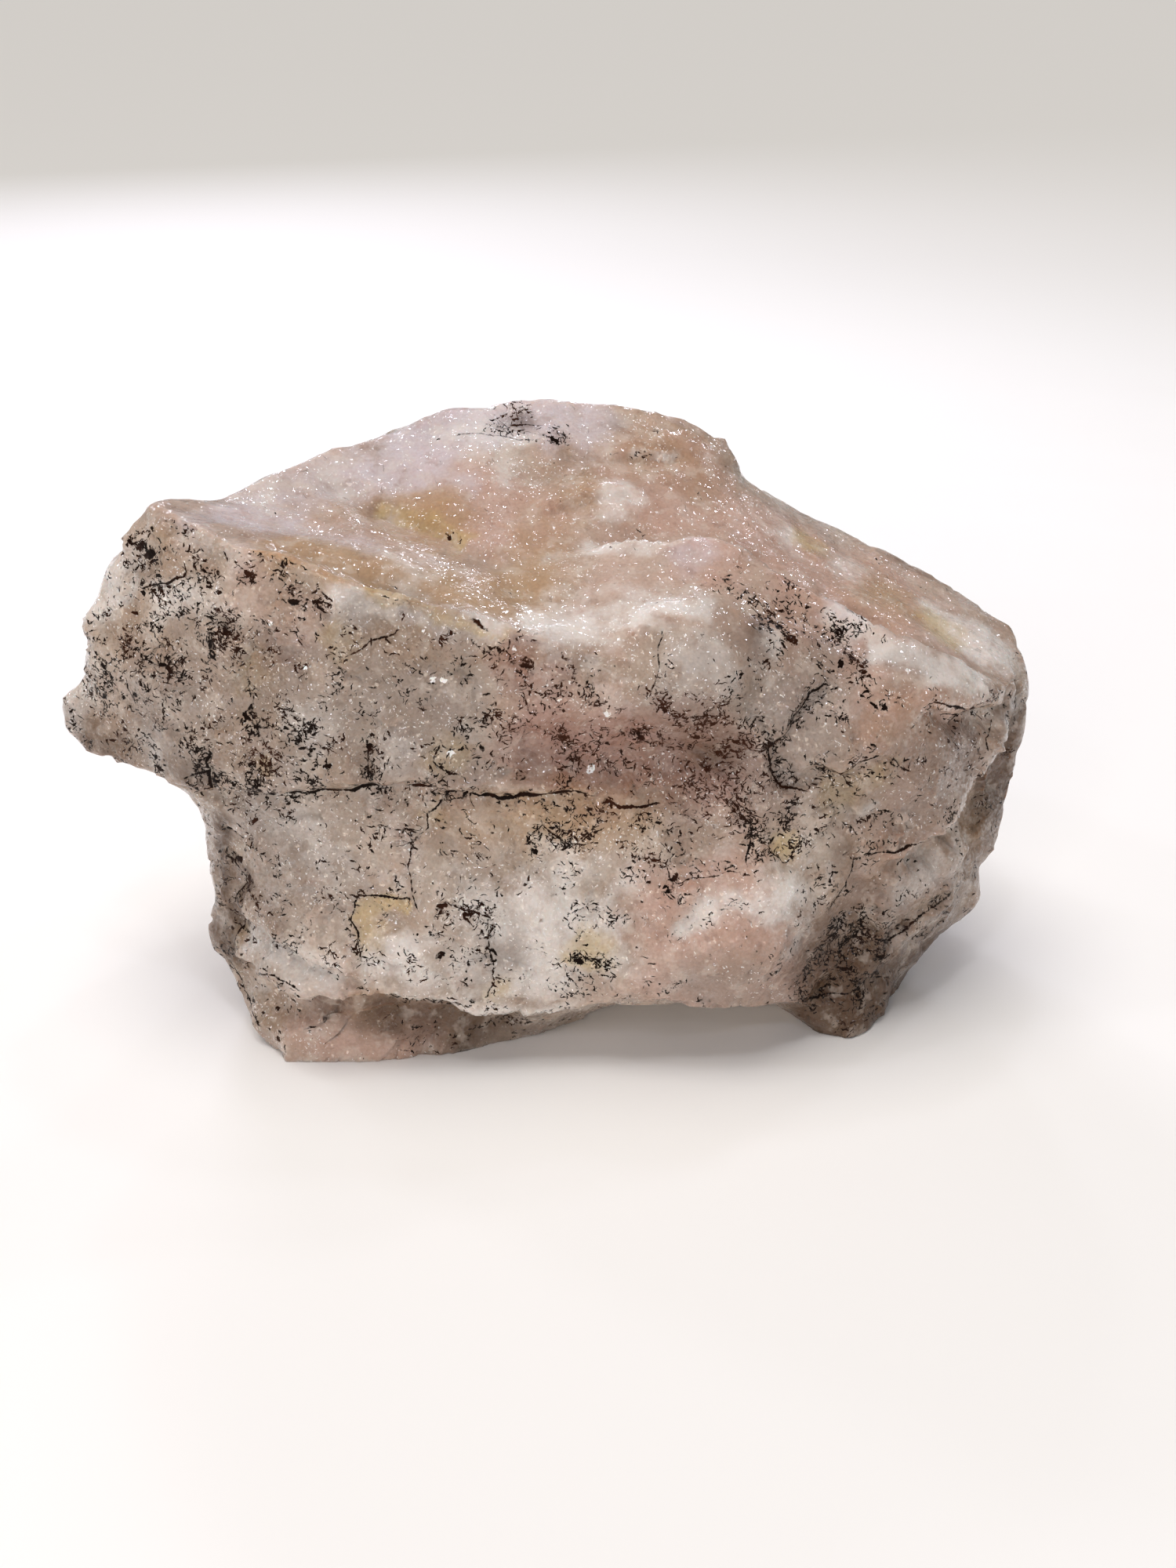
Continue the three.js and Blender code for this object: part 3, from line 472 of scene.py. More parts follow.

# Colour zones. Each tint is a share from 0 to 1 held by the skin: how much of that stain, haze or clear stone
# there is, or of painted shade, painted light or painted sheen. Stains spread unevenly, so their spots are
# read from drifted places.
calm = facing     # the way the skin faced before the relief
p, facing = places()
up = facing[:, 2]
drifted = p + 1.8 * bend + 1.3 * ripple
TINTS = {
    # name: places in mm, each with its strength and radius in mm
    "rose": [((54, -1, 92), 0.5, 7), ((69, -5, 84), 0.6, 7), ((74, -9, 81.5), 0.9, 6),
             ((21, 5, 111), 0.7, 9), ((30, 0, 107), 0.8, 9), ((80, -37, 61), 0.6, 10),
             ((27, -60, 24), 0.8, 13), ((38, -58, 27), 1.0, 12), ((50, -54, 20), 0.9, 12),
             ((22, -57, 37), 0.6, 12), ((34, -55, 40), 0.8, 9), ((73, -41, 65), 0.9, 13),
             ((64, -44, 70), 0.6, 9), ((69, -44, 50), 0.8, 11), ((-46, -57, 5), 0.9, 13),
             ((-30, -57, 5), 0.6, 9), ((-55, -45, 98), 0.25, 8), ((-45, -48, 92), 0.35, 9),
             ((-17, -11, 105), 0.7, 12), ((-24, -3, 111), 0.5, 10), ((19, 0, 106), 0.5, 12),
             ((28, -4, 103), 0.5, 10), ((-7, -16, 100), 0.5, 10), ((67, -9, 84), 0.5, 14),
             ((84, -12, 76), 0.5, 10), ((44, -4, 96), 0.6, 12), ((30, -27, 97), 0.6, 7),
             ((46, -32, 90), 0.5, 8), ((58, -36, 83), 0.3, 8), ((64, -45, 33), 0.3, 9),
             ((93, -20, 50), 0.5, 10), ((-1, -51, 74), 0.6, 12), ((12, -49, 72), 0.6, 12),
             ((36, -49, 56), 0.5, 10), ((-33, -57, 4), 0.6, 9)],
    "honey": [((-55.5, -48, 84.5), 0.8, 5), ((-24, -50.5, 90.5), 0.8, 6), ((-22, -53.5, 49.5), 0.6, 6),
              ((-36, -50, 90), 0.5, 6), ((-24, -50, 93), 0.6, 6), ((-36, -48, 92), 0.6, 6),
              ((-55, -48, 83), 0.4, 6), ((-24, -50, 90), 0.6, 7), ((0, -52, 51), 0.7, 7),
              ((89, -24, 36), 0.5, 8), ((-49, -41, 105), 0.9, 7), ((-40, -44, 102), 0.9, 7),
              ((-33, -45, 100), 0.8, 6), ((-24, -45, 98), 0.6, 7), ((-6, -35, 94), 0.8, 9),
              ((-3, -26, 96), 0.7, 10), ((-8, -52, 89), 0.9, 6), ((-5, -52, 87), 0.6, 5),
              ((-30, -50, 91), 0.7, 6), ((-19, -41, 97), 0.9, 9), ((-11, -38, 96), 0.9, 10),
              ((8, 6, 113), 0.25, 13), ((23, 9, 112), 0.35, 12), ((-1, -52.5, 60), 0.5, 10),
              ((14.5, -48, 59.5), 0.5, 9), ((86.5, -23.5, 38.5), 0.6, 10), ((-27, -14.5, 104.5), 0.5, 6),
              ((-23.5, -15.5, 102.5), 0.4, 6), ((5, -7, 105), 0.6, 6), ((-1, -16, 100), 0.4, 9),
              ((-30, -10, 105), 0.5, 7), ((-22, -12, 104), 0.6, 7), ((-3, -52, 54), 0.8, 8),
              ((-1, -52, 56), 0.6, 7), ((70, -10, 83), 0.5, 8), ((5, -51, 54), 1.0, 9),
              ((14, -51, 52), 0.7, 8), ((-13, -53, 55), 0.6, 8), ((-75, -33, 106), 0.7, 5),
              ((-57, -48, 76), 0.5, 6), ((-77, -37, 88), 0.3, 8), ((-48, -16, 105), 0.2, 14),
              ((-55, 0, 106), 0.4, 14), ((67, -10, 84), 0.3, 14), ((-36, -59, 15), 0.5, 10),
              ((62, -47, 58), 0.5, 8), ((79, -36, 43), 0.5, 6)],
    "ochre": [((80, -37, 60), 0.8, 7), ((70, -43, 52), 0.45, 15), ((-24, -50.5, 90.5), 0.6, 6),
              ((-22, -53.5, 49.5), 0.5, 6), ((-69, -40, 17), 0.5, 6), ((90, -26, 55), 0.7, 8),
              ((97, -16, 45), 0.7, 9), ((70, -43, 40), 0.5, 10), ((-54, -48, 84), 0.6, 6),
              ((-33, -50, 90), 0.6, 7), ((74, -42, 47), 0.5, 9), ((82, -34, 61), 0.8, 9),
              ((94, -22, 48), 0.6, 10), ((54, -1, 92), 0.5, 7), ((69, -5, 84), 0.6, 7),
              ((74, -9, 81.5), 0.5, 6), ((21, 5, 111), 0.6, 9), ((30, 0, 107), 0.8, 9),
              ((56, -48, 19), 0.5, 8), ((89, -24, 36), 0.6, 9), ((-71, -40, 97), 0.5, 7),
              ((-25, -51, 89.5), 0.6, 6), ((-15, -51, 90), 0.6, 6), ((-75, -38, 88), 0.7, 15),
              ((-75, -38, 96), 0.5, 7), ((-82, -37, 78), 0.4, 7), ((-24, -51, 91), 0.6, 8),
              ((58, -46, 20), 0.6, 11), ((88, -28, 50), 0.5, 9), ((90, -24, 40), 0.6, 9),
              ((-46, -24, 103), 0.15, 7), ((12, -50, 58), 0.4, 9), ((-57, -47, 79), 0.9, 10),
              ((-60, -48, 66), 0.6, 9), ((-88, -33, 66), 0.7, 11), ((-96, -30, 60), 0.7, 7),
              ((-40, -50, 88), 0.6, 9), ((-25, -51, 87), 0.6, 9), ((-68, -41, 22), 0.8, 9),
              ((-64, -45, 42), 0.5, 8), ((-36, -58, 13), 0.9, 9), ((-18, -55, 9), 0.8, 9),
              ((-56, -52, 11), 0.8, 8), ((60, -46, 16), 0.9, 13), ((50, -50, 34), 0.6, 9),
              ((94, -20, 45), 0.7, 12), ((88, -28, 30), 0.7, 10), ((58, -47, 58), 0.8, 9),
              ((-50, -44, 99), 0.5, 7), ((-23, -54, 55), 0.6, 9), ((-42, -53, 64), 0.5, 9),
              ((-12, -52, 78), 0.4, 10), ((44, -33, 90), 0.5, 10), ((65, -46, 5), 0.9, 12),
              ((40, -50, 50), 0.4, 9), ((-70, -34, 100), 0.2, 8), ((-33, -56, 34), 0.5, 8),
              ((8, -59, 28), 0.5, 8), ((26, -48, 60), 0.5, 10), ((73, -41, 64), 0.6, 12),
              ((64, -45, 68), 0.5, 10), ((28, -50, 83), 0.5, 12), ((38, -58, 24), 0.4, 12),
              ((-43, -58, 5), 0.3, 14), ((67, -45, 36), 0.5, 11), ((-45, -51, 73), 0.4, 11),
              ((-28, -53, 80), 0.5, 11)],
    "yellow": [((-39, -49, 90), 0.9, 5.5), ((-55, -47, 84), 1.0, 5.5), ((-60, -46, 82), 0.5, 5),
               ((-56, -50, 64), 0.9, 3), ((-20, -54, 69), 0.9, 5), ((-37, -57, 33), 0.6, 4.5),
               ((-37, -58, 28), 0.5, 4.5), ((-31, -57, 38), 0.3, 3.5), ((-12, -60, 19), 0.7, 4),
               ((6, -59, 29), 0.9, 5.5), ((10, -59, 27), 0.5, 4), ((56, -47, 57), 0.9, 6),
               ((63, -47, 60), 0.7, 6), ((46, -51, 47), 0.9, 4), ((53, 0, 93), 0.8, 6),
               ((80, -12, 77), 0.9, 8), ((-24, -52, 91), 0.4, 6), ((-66, -41, 22), 0.6, 5),
               ((-68, -41, 13), 0.5, 5), ((-24, -53, 55), 0.5, 5), ((92, -22, 44), 0.4, 6)],
    "milk_and_painted_light": [((-26, -59, 30), 0.5, 6), ((-26, -60, 22), 0.5, 6), ((83, -27, 75.5), 0.9, 6),
             ((75, -33, 79), 0.7, 6), ((66, -32, 84), 0.5, 6), ((90, -10, 75), 0.4, 6),
             ((-47, -51, 73), 0.6, 6), ((-16, -58, 39), 0.6, 6), ((-42, -54, 37), 0.3, 7),
             ((-30, -38, 99), 0.35, 6), ((2, -32, 95), 0.3, 6), ((-25, -39, 98.5), 0.5, 5),
             ((10, -58, 28), 0.5, 6), ((-80, -38, 62), 0.4, 6), ((10, -47, 63), 0.3, 6),
             ((-37, -49, 95), 0.7, 6), ((-28, -50, 94), 0.3, 6), ((-88, -27, 94), 0.5, 8),
             ((46, 2, 96), 0.4, 8), ((57, 3, 92), 0.3, 8), ((87, -12, 75), 0.8, 8), ((93, -8, 73), 0.6, 8),
             ((57, -30, 88), 0.6, 7), ((-45, -6, 109), 0.5, 9), ((-60, -14, 108), 0.4, 9),
             ((93, -13, 71), 0.4, 10), ((0, -53, 43), 0.5, 9), ((12, 8, 113), 0.25, 12),
             ((25, 11, 111), 0.1, 12), ((10, -58, 28), 0.3, 6), ((-73, -38, 94), 0.45, 7),
             ((-100, -27, 64), 0.8, 6), ((-97, -28, 70), 0.6, 7), ((-11, -6, 107), 0.5, 5),
             ((11, -8, 104), 0.7, 6), ((15, -7, 105), 0.7, 5), ((1, -44, 91), 0.6, 9),
             ((11, -40, 92), 0.5, 8), ((20, -36, 94), 0.3, 7), ((29, -48, 85), 0.6, 9),
             ((42, -41, 86), 0.9, 4), ((24, -50, 79), 0.3, 9), ((-29, -54, 70), 0.8, 6),
             ((44, -55, 38), 0.9, 7), ((-11, -59, 31), 0.5, 9), ((-3, -58, 34), 0.9, 9),
             ((-3, -59, 24), 0.9, 9), ((10, -58, 36), 0.4, 9), ((-17, -56, 42), 0.2, 9),
             ((-47, -51, 48), 0.6, 9), ((-48, -58, 22), 0.9, 8), ((-32, -60, 25), 0.7, 8),
             ((-15, -60, 22), 0.7, 9), ((61, -45, 53), 1.0, 2.6), ((91, -24, 59), 0.9, 4),
             # the spot at (-88, -27, 88) is painted light on the left lobe's edge
             ((-4, -42, 92), 0.7, 7), ((4, -43, 92), 0.7, 7), ((-88, -27, 88), 0.4, 8),
             ((-33, -32, 101), 0.4, 5), ((74, -40, 36), 0.5, 8), ((82, -34, 36), 0.5, 6),
             ((48, -52, 31), 0.5, 8), ((69, -45, 31), 0.4, 7), ((-45, -51, 78), 0.4, 8),
             ((2, -23, 97), 0.5, 6), ((-55, -47, 52), 0.4, 7), ((46, -4, 94), 0.5, 6),
             ((61, -4, 87), 0.7, 6), ((80, -9, 77.5), 0.8, 7), ((-14, 5, 115), 0.6, 12),
             ((-74, -38, 94), 0.5, 6), ((-66, -43, 95), 0.5, 6), ((45, -47, 64), 0.3, 5)],
    "rust": [((82, -34, 61), 0.5, 8), ((92, -24, 52), 0.5, 9), ((-8, -52, 88), 0.4, 7),
             ((-30, -50, 91), 0.35, 8), ((-24, -50, 92), 0.35, 6), ((-54, -48, 84), 0.5, 6),
             ((28, -47, 62), 0.55, 12), ((40, -47, 58), 0.5, 10), ((12, -49, 60), 0.2, 10),
             ((20, -48, 74), 0.4, 10), ((-52, -48, 88), 0.6, 5), ((-56, -50, 66), 0.5, 5),
             ((-2, -51, 72), 0.6, 12), ((10, -48, 62), 0.35, 10), ((24, -48, 70), 0.7, 12),
             ((3, -49, 71), 0.9, 5), ((-6, -50, 86), 0.9, 6), ((1, -49, 86), 0.6, 6),
             ((8, -48, 66), 0.65, 12), ((17, -47, 68), 0.7, 12), ((-4, -51, 68), 0.7, 9),
             ((26, -48, 72), 0.6, 9), ((33, -47, 65), 0.8, 8), ((26, -47, 60), 0.6, 9),
             ((-57, -44, 101), 0.4, 4), ((-83, -35, 84), 0.4, 5), ((-49, -48, 89), 0.3, 5),
             ((24, -53, 47), 0.3, 6), ((-48, -46, 98), 0.4, 4), ((-20, -50, 90), 0.25, 6)],
    # shade: a greyish darkening, partly grey stone and partly painted shade on faces turned from the lamps,
    # under ledges and along the edges
    "grey_and_painted_shade": [((80, -37, 60), 0.6, 6), ((66, -45, 56), 0.35, 14), ((76, -39, 46), 0.35, 13),
              ((-60, -48, 52), 0.4, 9), ((-55, -48, 46), 0.5, 8), ((84, -33, 58), 0.4, 8),
              ((38, -60, 18), 0.6, 9), ((-70, -42, 80), 0.45, 16), ((-50, -49, 84), 0.3, 12),
              ((38, -42, 87), 0.6, 5), ((-54, -48, 83), 0.6, 6), ((-24, -50, 93), 0.4, 5),
              ((-36, -48, 92), 0.5, 6), ((-60, -46, 88), 0.3, 12), ((-12, -59, 26), 0.8, 6),
              ((44, -48, 76), 0.9, 8), ((74, -42, 47), 0.7, 8), ((82, -34, 61), 0.8, 8),
              ((70, -35, 80), 0.3, 6), ((94, -20, 38), 0.6, 9), ((-40, -54, 40), 0.5, 7),
              ((-58, -48, 56), 0.6, 8), ((-53, -48, 86), 0.4, 6), ((-38, -49, 91), 0.4, 6),
              ((52, -48, 69), 0.5, 6), ((63, -46, 57), 0.3, 6), ((-40, -52, 74), 0.6, 17),
              ((-24, -53, 78), 0.8, 15), ((-80, -39, 62), 0.6, 15), ((-50, -53, 38), 0.5, 15),
              ((-60, -49, 30), 0.6, 12), ((28, -50, 82), 0.7, 14), ((-60, -48, 68), 0.5, 16),
              ((73, -41, 62), 0.5, 13), ((-30, -55, 64), 0.5, 12), ((40, -57, 22), 0.4, 14),
              ((-45, -52, 52), 0.3, 12), ((-54, -47, 84), 0.5, 8), ((-77, -40, 77), 0.6, 12),
              ((-99, -28, 62), 0.7, 8), ((-59, -47, 52), 0.6, 12), ((-72, -37, 40), 0.6, 8),
              ((46, -48, 76), 0.8, 12), ((43, -46, 60), 0.9, 9), ((52, -40, 82), 0.8, 8),
              ((80, -36, 58), 0.8, 10), ((64, -45, 57), 0.5, 14), ((-13, -52, 64), 0.5, 8),
              ((-18, -55, 45), 0.5, 9), ((-10, -57, 32), 0.5, 8), ((27, -60, 18), 0.5, 9),
              ((69, -36, 79), 0.5, 7), ((-30, -49, 92), 0.8, 12), ((-58, -53, 22), 0.3, 8),
              ((-72, -38, 15), 0.5, 7), ((14, -38, 91), 0.3, 8), ((16, -21, 99), 0.4, 6),
              ((32, -40, 91), 0.3, 7), ((-20, -52, 80), 0.4, 9), ((-52, -48, 86), 0.5, 7),
              ((-38, -49, 92), 0.4, 6), ((-18, -50, 94), 0.5, 7), ((-100, -28, 63), 0.8, 8),
              ((-49, -60, 21), 0.5, 7), ((-49, -55, 12), 0.6, 7), ((-36, -59, 27), 0.4, 6),
              ((-17, -54, 65), 0.5, 6), ((-3, -53, 62), 0.5, 6), ((18, -15, 98), 0.4, 6),
              ((29, -39, 93), 0.4, 5), ((39, -41, 87), 0.6, 5), ((53, -42, 79), 0.6, 7),
              ((48, -45, 69), 0.5, 8), ((55, -46, 56), 0.6, 8), ((44, -49, 58), 0.4, 8),
              ((80, -36, 57), 0.4, 8), ((-16, -60, 24), 0.5, 7), ((29, -60, 21), 0.5, 9),
              ((-25, -53, 51), 0.5, 7), ((-74, -35, 48), 0.6, 10), ((-74, -33, 30), 0.6, 10),
              ((95, -18, 45), 0.4, 9)],
    # lilac: painted sheen, a pale lilac standing for bluish window light reflected on the worn top and the
    # skyline
    "painted_sheen": [((-45, -8, 109), 0.6, 9), ((-20, -9, 106.5), 0.7, 6), ((-28, -3, 110), 0.9, 9),
              ((-34, -4, 108), 0.8, 7), ((27, -24, 98.5), 0.62, 7), ((57, -30, 88), 0.6, 7),
              ((84, -12, 76), 0.3, 8), ((-31, 4, 114), 0.8, 8), ((-18, 9, 116), 0.9, 8),
              ((-10, 11, 118), 0.9, 8), ((0, 10, 117), 0.9, 8), ((7, 11, 115.5), 0.9, 9),
              ((-61, -26, 107), 0.7, 9), ((-53, -22, 104), 0.7, 8), ((-42, -29, 101), 0.4, 6),
              ((-70, -33, 109), 0.5, 6), ((-24, 4, 114), 0.6, 9), ((-16, 7, 115), 0.8, 9),
              ((-37, -31, 101), 0.4, 6), ((-58, -10, 109), 0.7, 11), ((-49, -5, 110), 0.6, 10),
              ((1, 8, 116), 0.7, 9), ((-38, -2, 111), 0.4, 9)],
    # smoke: dark brown stain, and painted shade at the foot, in the recess under the bottom edge, along the
    # left edge and under the left nose
    "dark_stain_and_painted_shade": [((-69, -40, 17), 0.9, 7), ((53, -47, 6), 0.8, 7), ((40, -41, 87), 0.4, 5),
              ((-46, -57, 14), 0.6, 6), ((-52, -59, 19), 0.3, 5), ((92, -26, 60), 0.3, 7),
              ((96, -17, 44), 0.4, 8), ((58, -49, 4), 0.7, 14), ((70, -42, 5), 1.0, 13),
              ((80, -30, 6), 0.9, 16), ((62, -46, 13), 0.6, 13), ((55, -49, 22), 0.5, 13),
              ((68, -44, 22), 0.6, 8), ((65, -46, 10), 0.6, 8), ((48, -51, 15), 0.4, 9),
              ((92, -14, 30), 0.6, 18), ((97, -10, 55), 0.5, 14), ((94, -21, 58), 0.3, 8),
              ((60, -48, 4), 0.5, 8), ((94, -20, 43), 0.3, 12), ((87, -29, 30), 0.25, 9),
              ((96, -18, 60), 0.2, 9), ((-24, -55, 8), 0.7, 9), ((-12, -53, 7), 0.6, 9),
              ((-34, -56, 12), 0.4, 8), ((-50, -53, 11), 0.2, 8), ((-67, -41, 36), 0.6, 6),
              ((-69, -40, 26), 0.6, 8), ((33, -47, 65), 0.6, 6), ((27, -48, 68), 0.4, 9),
              ((40, -31, 92), 0.35, 8), ((50, -35, 87), 0.35, 8), ((59, -37, 82), 0.35, 6),
              ((41, -38, 88), 0.3, 5), ((-93, -32, 61), 0.6, 6), ((-80, -32, 97), 0.45, 5),
              ((-68, -46, 60), 0.35, 6), ((-35, -54, 66), 0.3, 6), ((-80, -38, 72), 0.3, 10),
              ((1, 6, 114), 0.3, 4), ((8, -48, 62), 0.1, 10), ((50, -49, 30), 0.3, 9),
              ((56, -47, 42), 0.4, 6), ((-35, -54, 72), 0.2, 12), ((-80, -39, 60), 0.25, 10),
              ((-88, -33, 60), 0.3, 9), ((-72, -43, 60), 0.4, 8), ((96, -17, 48), 0.6, 12),
              ((82, -33, 24), 0.5, 8), ((66, -45, 38), 0.3, 10), ((66, -44, 30), 0.3, 10),
              ((75, -39, 34), 0.3, 10), ((56, -48, 20), 0.45, 10), ((-38, -56, 12), 0.4, 8),
              ((-33, -55, 9), 0.5, 8), ((-17, -52, 5), 0.5, 9), ((-1, -47, 4), 0.5, 9),
              ((72, -41, 62), 0.2, 11)],
    "black": [((-52, -48, 88), 0.7, 4), ((-56, -50, 66), 0.9, 4), ((-63, -43, 89), 1.0, 5),
              ((-62, -44, 94), 0.7, 4), ((-60, -45, 86), 1.0, 3), ((-81, -35, 86), 0.9, 3),
              ((-75, -40, 81), 0.9, 4), ((-73, -41, 78), 0.7, 3), ((-88, -33, 77), 0.8, 3),
              ((-79, -32, 102), 1.0, 5), ((-78, -31, 105), 0.7, 4), ((-84, -34, 84), 0.6, 4),
              ((-57, -44, 101), 0.7, 4), ((-48, -46, 98), 0.5, 4), ((-42, -47, 97), 0.4, 4),
              ((-93, -32, 61), 0.7, 5), ((-68, -46, 60), 0.9, 5), ((-60, -48, 60), 0.6, 4),
              ((-35, -54, 66), 0.8, 4), ((-20, -57, 37), 0.8, 4), ((-14, -58, 36), 0.7, 4),
              ((8, -59, 25), 0.8, 3.5), ((-20, -53, 60), 0.7, 5), ((33, -47, 65), 1.0, 6),
              ((29, -48, 72), 0.7, 5), ((40, -47, 67), 0.6, 4), ((22, -53, 45), 0.7, 5),
              ((36, -49, 56), 0.6, 6), ((40, -50, 50), 0.5, 6), ((3, -52, 50), 0.4, 5),
              ((-11, -52, 76), 0.7, 4), ((-26, -51, 86), 0.6, 4), ((-15, -52, 83), 0.6, 5),
              ((41, -38, 88), 0.7, 4), ((52, -36, 85), 0.6, 6), ((58, -38, 82), 0.8, 4),
              ((40, -31, 92), 0.5, 6), ((61, -45, 50), 1.0, 2), ((65, -46, 10), 1.0, 6),
              ((0, 6, 114), 0.9, 3.5), ((-13, 8, 116), 0.5, 5), ((60, -46, 20), 0.5, 9),
              ((3, -49, 71), 0.7, 4), ((-6, -50, 86), 0.6, 5), ((-12, -60, 27), 0.5, 4),
              ((-52, -50, 71), 0.5, 5), ((-57, -48, 74), 0.5, 4), ((-42, -52, 68), 0.5, 5),
              ((82, -35, 26), 0.5, 5)],
}
SEAMS = [
    # (tint, strength, half width in mm, line): stains, pale bands and painted shade that follow an edge
    ("yellow", 1.0, 1.2, [(-38, -44, 99.5), (-32, -47, 98), (-25, -49, 96.5), (-19, -50.5, 95.5),
                          (-12, -52, 93), (-5, -51, 90)]),
    ("milk_and_painted_light", 0.95, 2.8, [(-44, -47, 99), (-37, -48, 97.5), (-30, -49, 96), (-23, -50, 94.5), (-17, -51, 93)]),
    ("milk_and_painted_light", 0.7, 3.0, [(-20, -49, 95), (-14, -49, 94), (-8, -49, 92), (-2, -47, 91), (6, -45, 91)]),
    ("yellow", 1.0, 2.2, [(-39, -11, 102.5), (-34, -12, 101.5), (-28, -14, 101.5), (-23, -16, 100.5),
                          (-20, -18, 99.5), (-15, -21, 99.5)]),
    ("honey", 1.0, 6.0, [(-54, -34, 105), (-47, -36, 103), (-40, -38, 101), (-33, -39, 98), (-25, -40, 97)]),
    ("ochre", 0.4, 4.0, [(-52, -36, 104), (-45, -38, 102), (-37, -40, 99), (-29, -41, 98)]),
    ("yellow", 1.1, 2.0, [(-28, -57, 39), (-33, -57, 38), (-37.5, -57, 36.5), (-37.5, -57.5, 32),
                          (-36.5, -58.5, 28)]),
    ("honey", 0.3, 4.0, [(-40, -8, 107), (-33, -8, 107), (-26, -11, 106), (-18, -17, 103)]),
    ("milk_and_painted_light", 1.0, 3.2, [(14, -44, 90), (18, -42, 92), (23, -39, 93), (27, -39, 93), (31, -40, 92)]),
    ("milk_and_painted_light", 1.0, 4.0, [(58, -34, 83), (65, -34, 81.5), (70, -34, 80.5), (75, -36, 79), (82, -33, 75),
                        (88, -28, 71)]),
    ("milk_and_painted_light", 0.8, 3.0, [(1, -24, 97), (6, -18, 97), (16, -22, 98), (28, -18, 98), (37, -17, 96),
                        (43, -17, 93), (52, -24, 89)]),
    ("milk_and_painted_light", 0.9, 3.2, [(-67, -43, 23), (-57, -53, 24), (-48, -58, 22), (-42, -60, 20)]),
    ("milk_and_painted_light", 0.8, 2.6, [(-36, -61, 20), (-30, -60, 17), (-24, -59, 16), (-14, -60, 13), (-4, -59, 13),
                        (8, -60, 16)]),
    ("milk_and_painted_light", 0.7, 2.6, [(22, -58, 32), (31, -56, 37), (40, -55, 39), (47, -52, 38)]),
    # the dark seams that follow are painted shade with some dark stain: along the left edge, round the foot,
    # in the recess under the bottom edge and under the left nose; the one on the peak is part of its dark
    # veil
    ("dark_stain_and_painted_shade", 0.8, 2.0, [(-69, -39, 41), (-66, -42, 41), (-63, -44, 39), (-62, -46, 35), (-64, -45, 30),
                         (-66, -44, 23)]),
    ("dark_stain_and_painted_shade", 1.0, 3.2, [(76, -40, 24), (69, -44, 21), (67, -44, 18), (67, -45, 13), (64, -47, 10),
                         (58, -49, 9)]),
    ("dark_stain_and_painted_shade", 0.8, 2.6, [(-40, -59, 15), (-34, -58, 13), (-26, -57, 12), (-16, -56, 9), (-6, -54, 7)]),
    ("dark_stain_and_painted_shade", 0.35, 2.4, [(-14, 9, 117), (-8, 9, 117), (-2, 6, 114)]),
    ("dark_stain_and_painted_shade", 0.9, 3.2, [(-66, -42.5, 54), (-68, -42, 46), (-68.5, -41.5, 37), (-67, -43, 31), (-68, -41, 23),
                         (-67, -42, 14)]),
    ("dark_stain_and_painted_shade", 0.4, 3.0, [(-100, -27, 61), (-94, -30, 60), (-91, -31, 59), (-87, -32, 59), (-82, -36, 57)]),
    ("ochre", 0.9, 2.2, [(56, -46, 58), (58, -46, 50), (58, -46, 39), (55, -49, 28)]),
    ("rust", 0.5, 1.4, [(-36, -11, 104), (-32, -12, 103), (-28, -14, 102), (-24, -16, 101), (-20, -19, 100)]),
]
# Places in mm, each with its strength and radius in mm: where the black specks crowd, and where they are few.
SPECKLED = [
    ((-75, -38, 86), 0.3, 26), ((-35, -52, 75), 0.1, 26), ((-9, 9, 117), 1.0, 8), ((0, 6, 114), 1.0, 5),
    ((-13, 6, 116), 0.8, 5), ((-88, -34, 70), 0.3, 18), ((30, -47, 68), 0.4, 20), ((5, -50, 72), 0.2, 22),
    ((46, -35, 88), 0.6, 16), ((34, -30, 95), 0.7, 8), ((40, -49, 58), 0.4, 12), ((46, -49, 52), 0.3, 10),
    ((0, -52, 50), 0.2, 12), ((18, -52, 46), 0.25, 10), ((43, -31, 92), 0.8, 9), ((58, -34, 84), 0.5, 13),
    ((60, -46, 18), 0.4, 16), ((-70, -42, 30), 0.35, 14), ((-60, -52, 66), 0.3, 20),
]
CLEAN = [
    ((-37, -49, 96), 0.7, 9), ((-11, -48, 92), 0.5, 10), ((32, -58, 24), 0.6, 16), ((44, -55, 38), 0.6, 9),
    ((-5, -58, 30), 0.35, 14), ((-46, -57, 5), 0.6, 14), ((78, -30, 76), 0.5, 12), ((1, -44, 91), 0.5, 12),
    ((-60, -30, 108), 0.3, 14), ((-28, -14, 102), 0.9, 12),
]

# Beside the placed stains there are some everywhere, and more on the hidden side.
SPREAD = 1.45     # a stain thins out until this many of its radii from its middle
broad = layered(p, 34, 2, 61)
blotch = layered(p, 15, 2, 62)
patch = layered(p, 17, 3, 63)
side_face = 1 - ramp(up, 0.5, 0.8)
zones = {}
for name, spots in TINTS.items():
    left = np.ones(len(p))
    for at, strength, radius in spots:
        left *= 1 - strength * spot(drifted, at, SPREAD * radius)
    zones[name] = 1 - left
for tint, strength, width, line in SEAMS:
    far, along, side = trail(drifted, calm, line)
    zones[tint] = np.maximum(zones[tint], strength * fade(along, 0.12) * np.exp(-((far / width) ** 2)))
zones["rose"] += 0.25 + 0.25 * broad + 0.25 * smooth_top
zones["honey"] += 0.2 * smooth_top + hidden * side_face * ramp(blotch, 0.05, 0.5) * 0.6
zones["milk_and_painted_light"] += (0.25 + 0.5 * hidden) * ramp(patch, 0.15, 0.6) * side_face
zones["rust"] += hidden * side_face * ramp(layered(p, 21, 2, 64), 0.25, 0.6) * 0.7
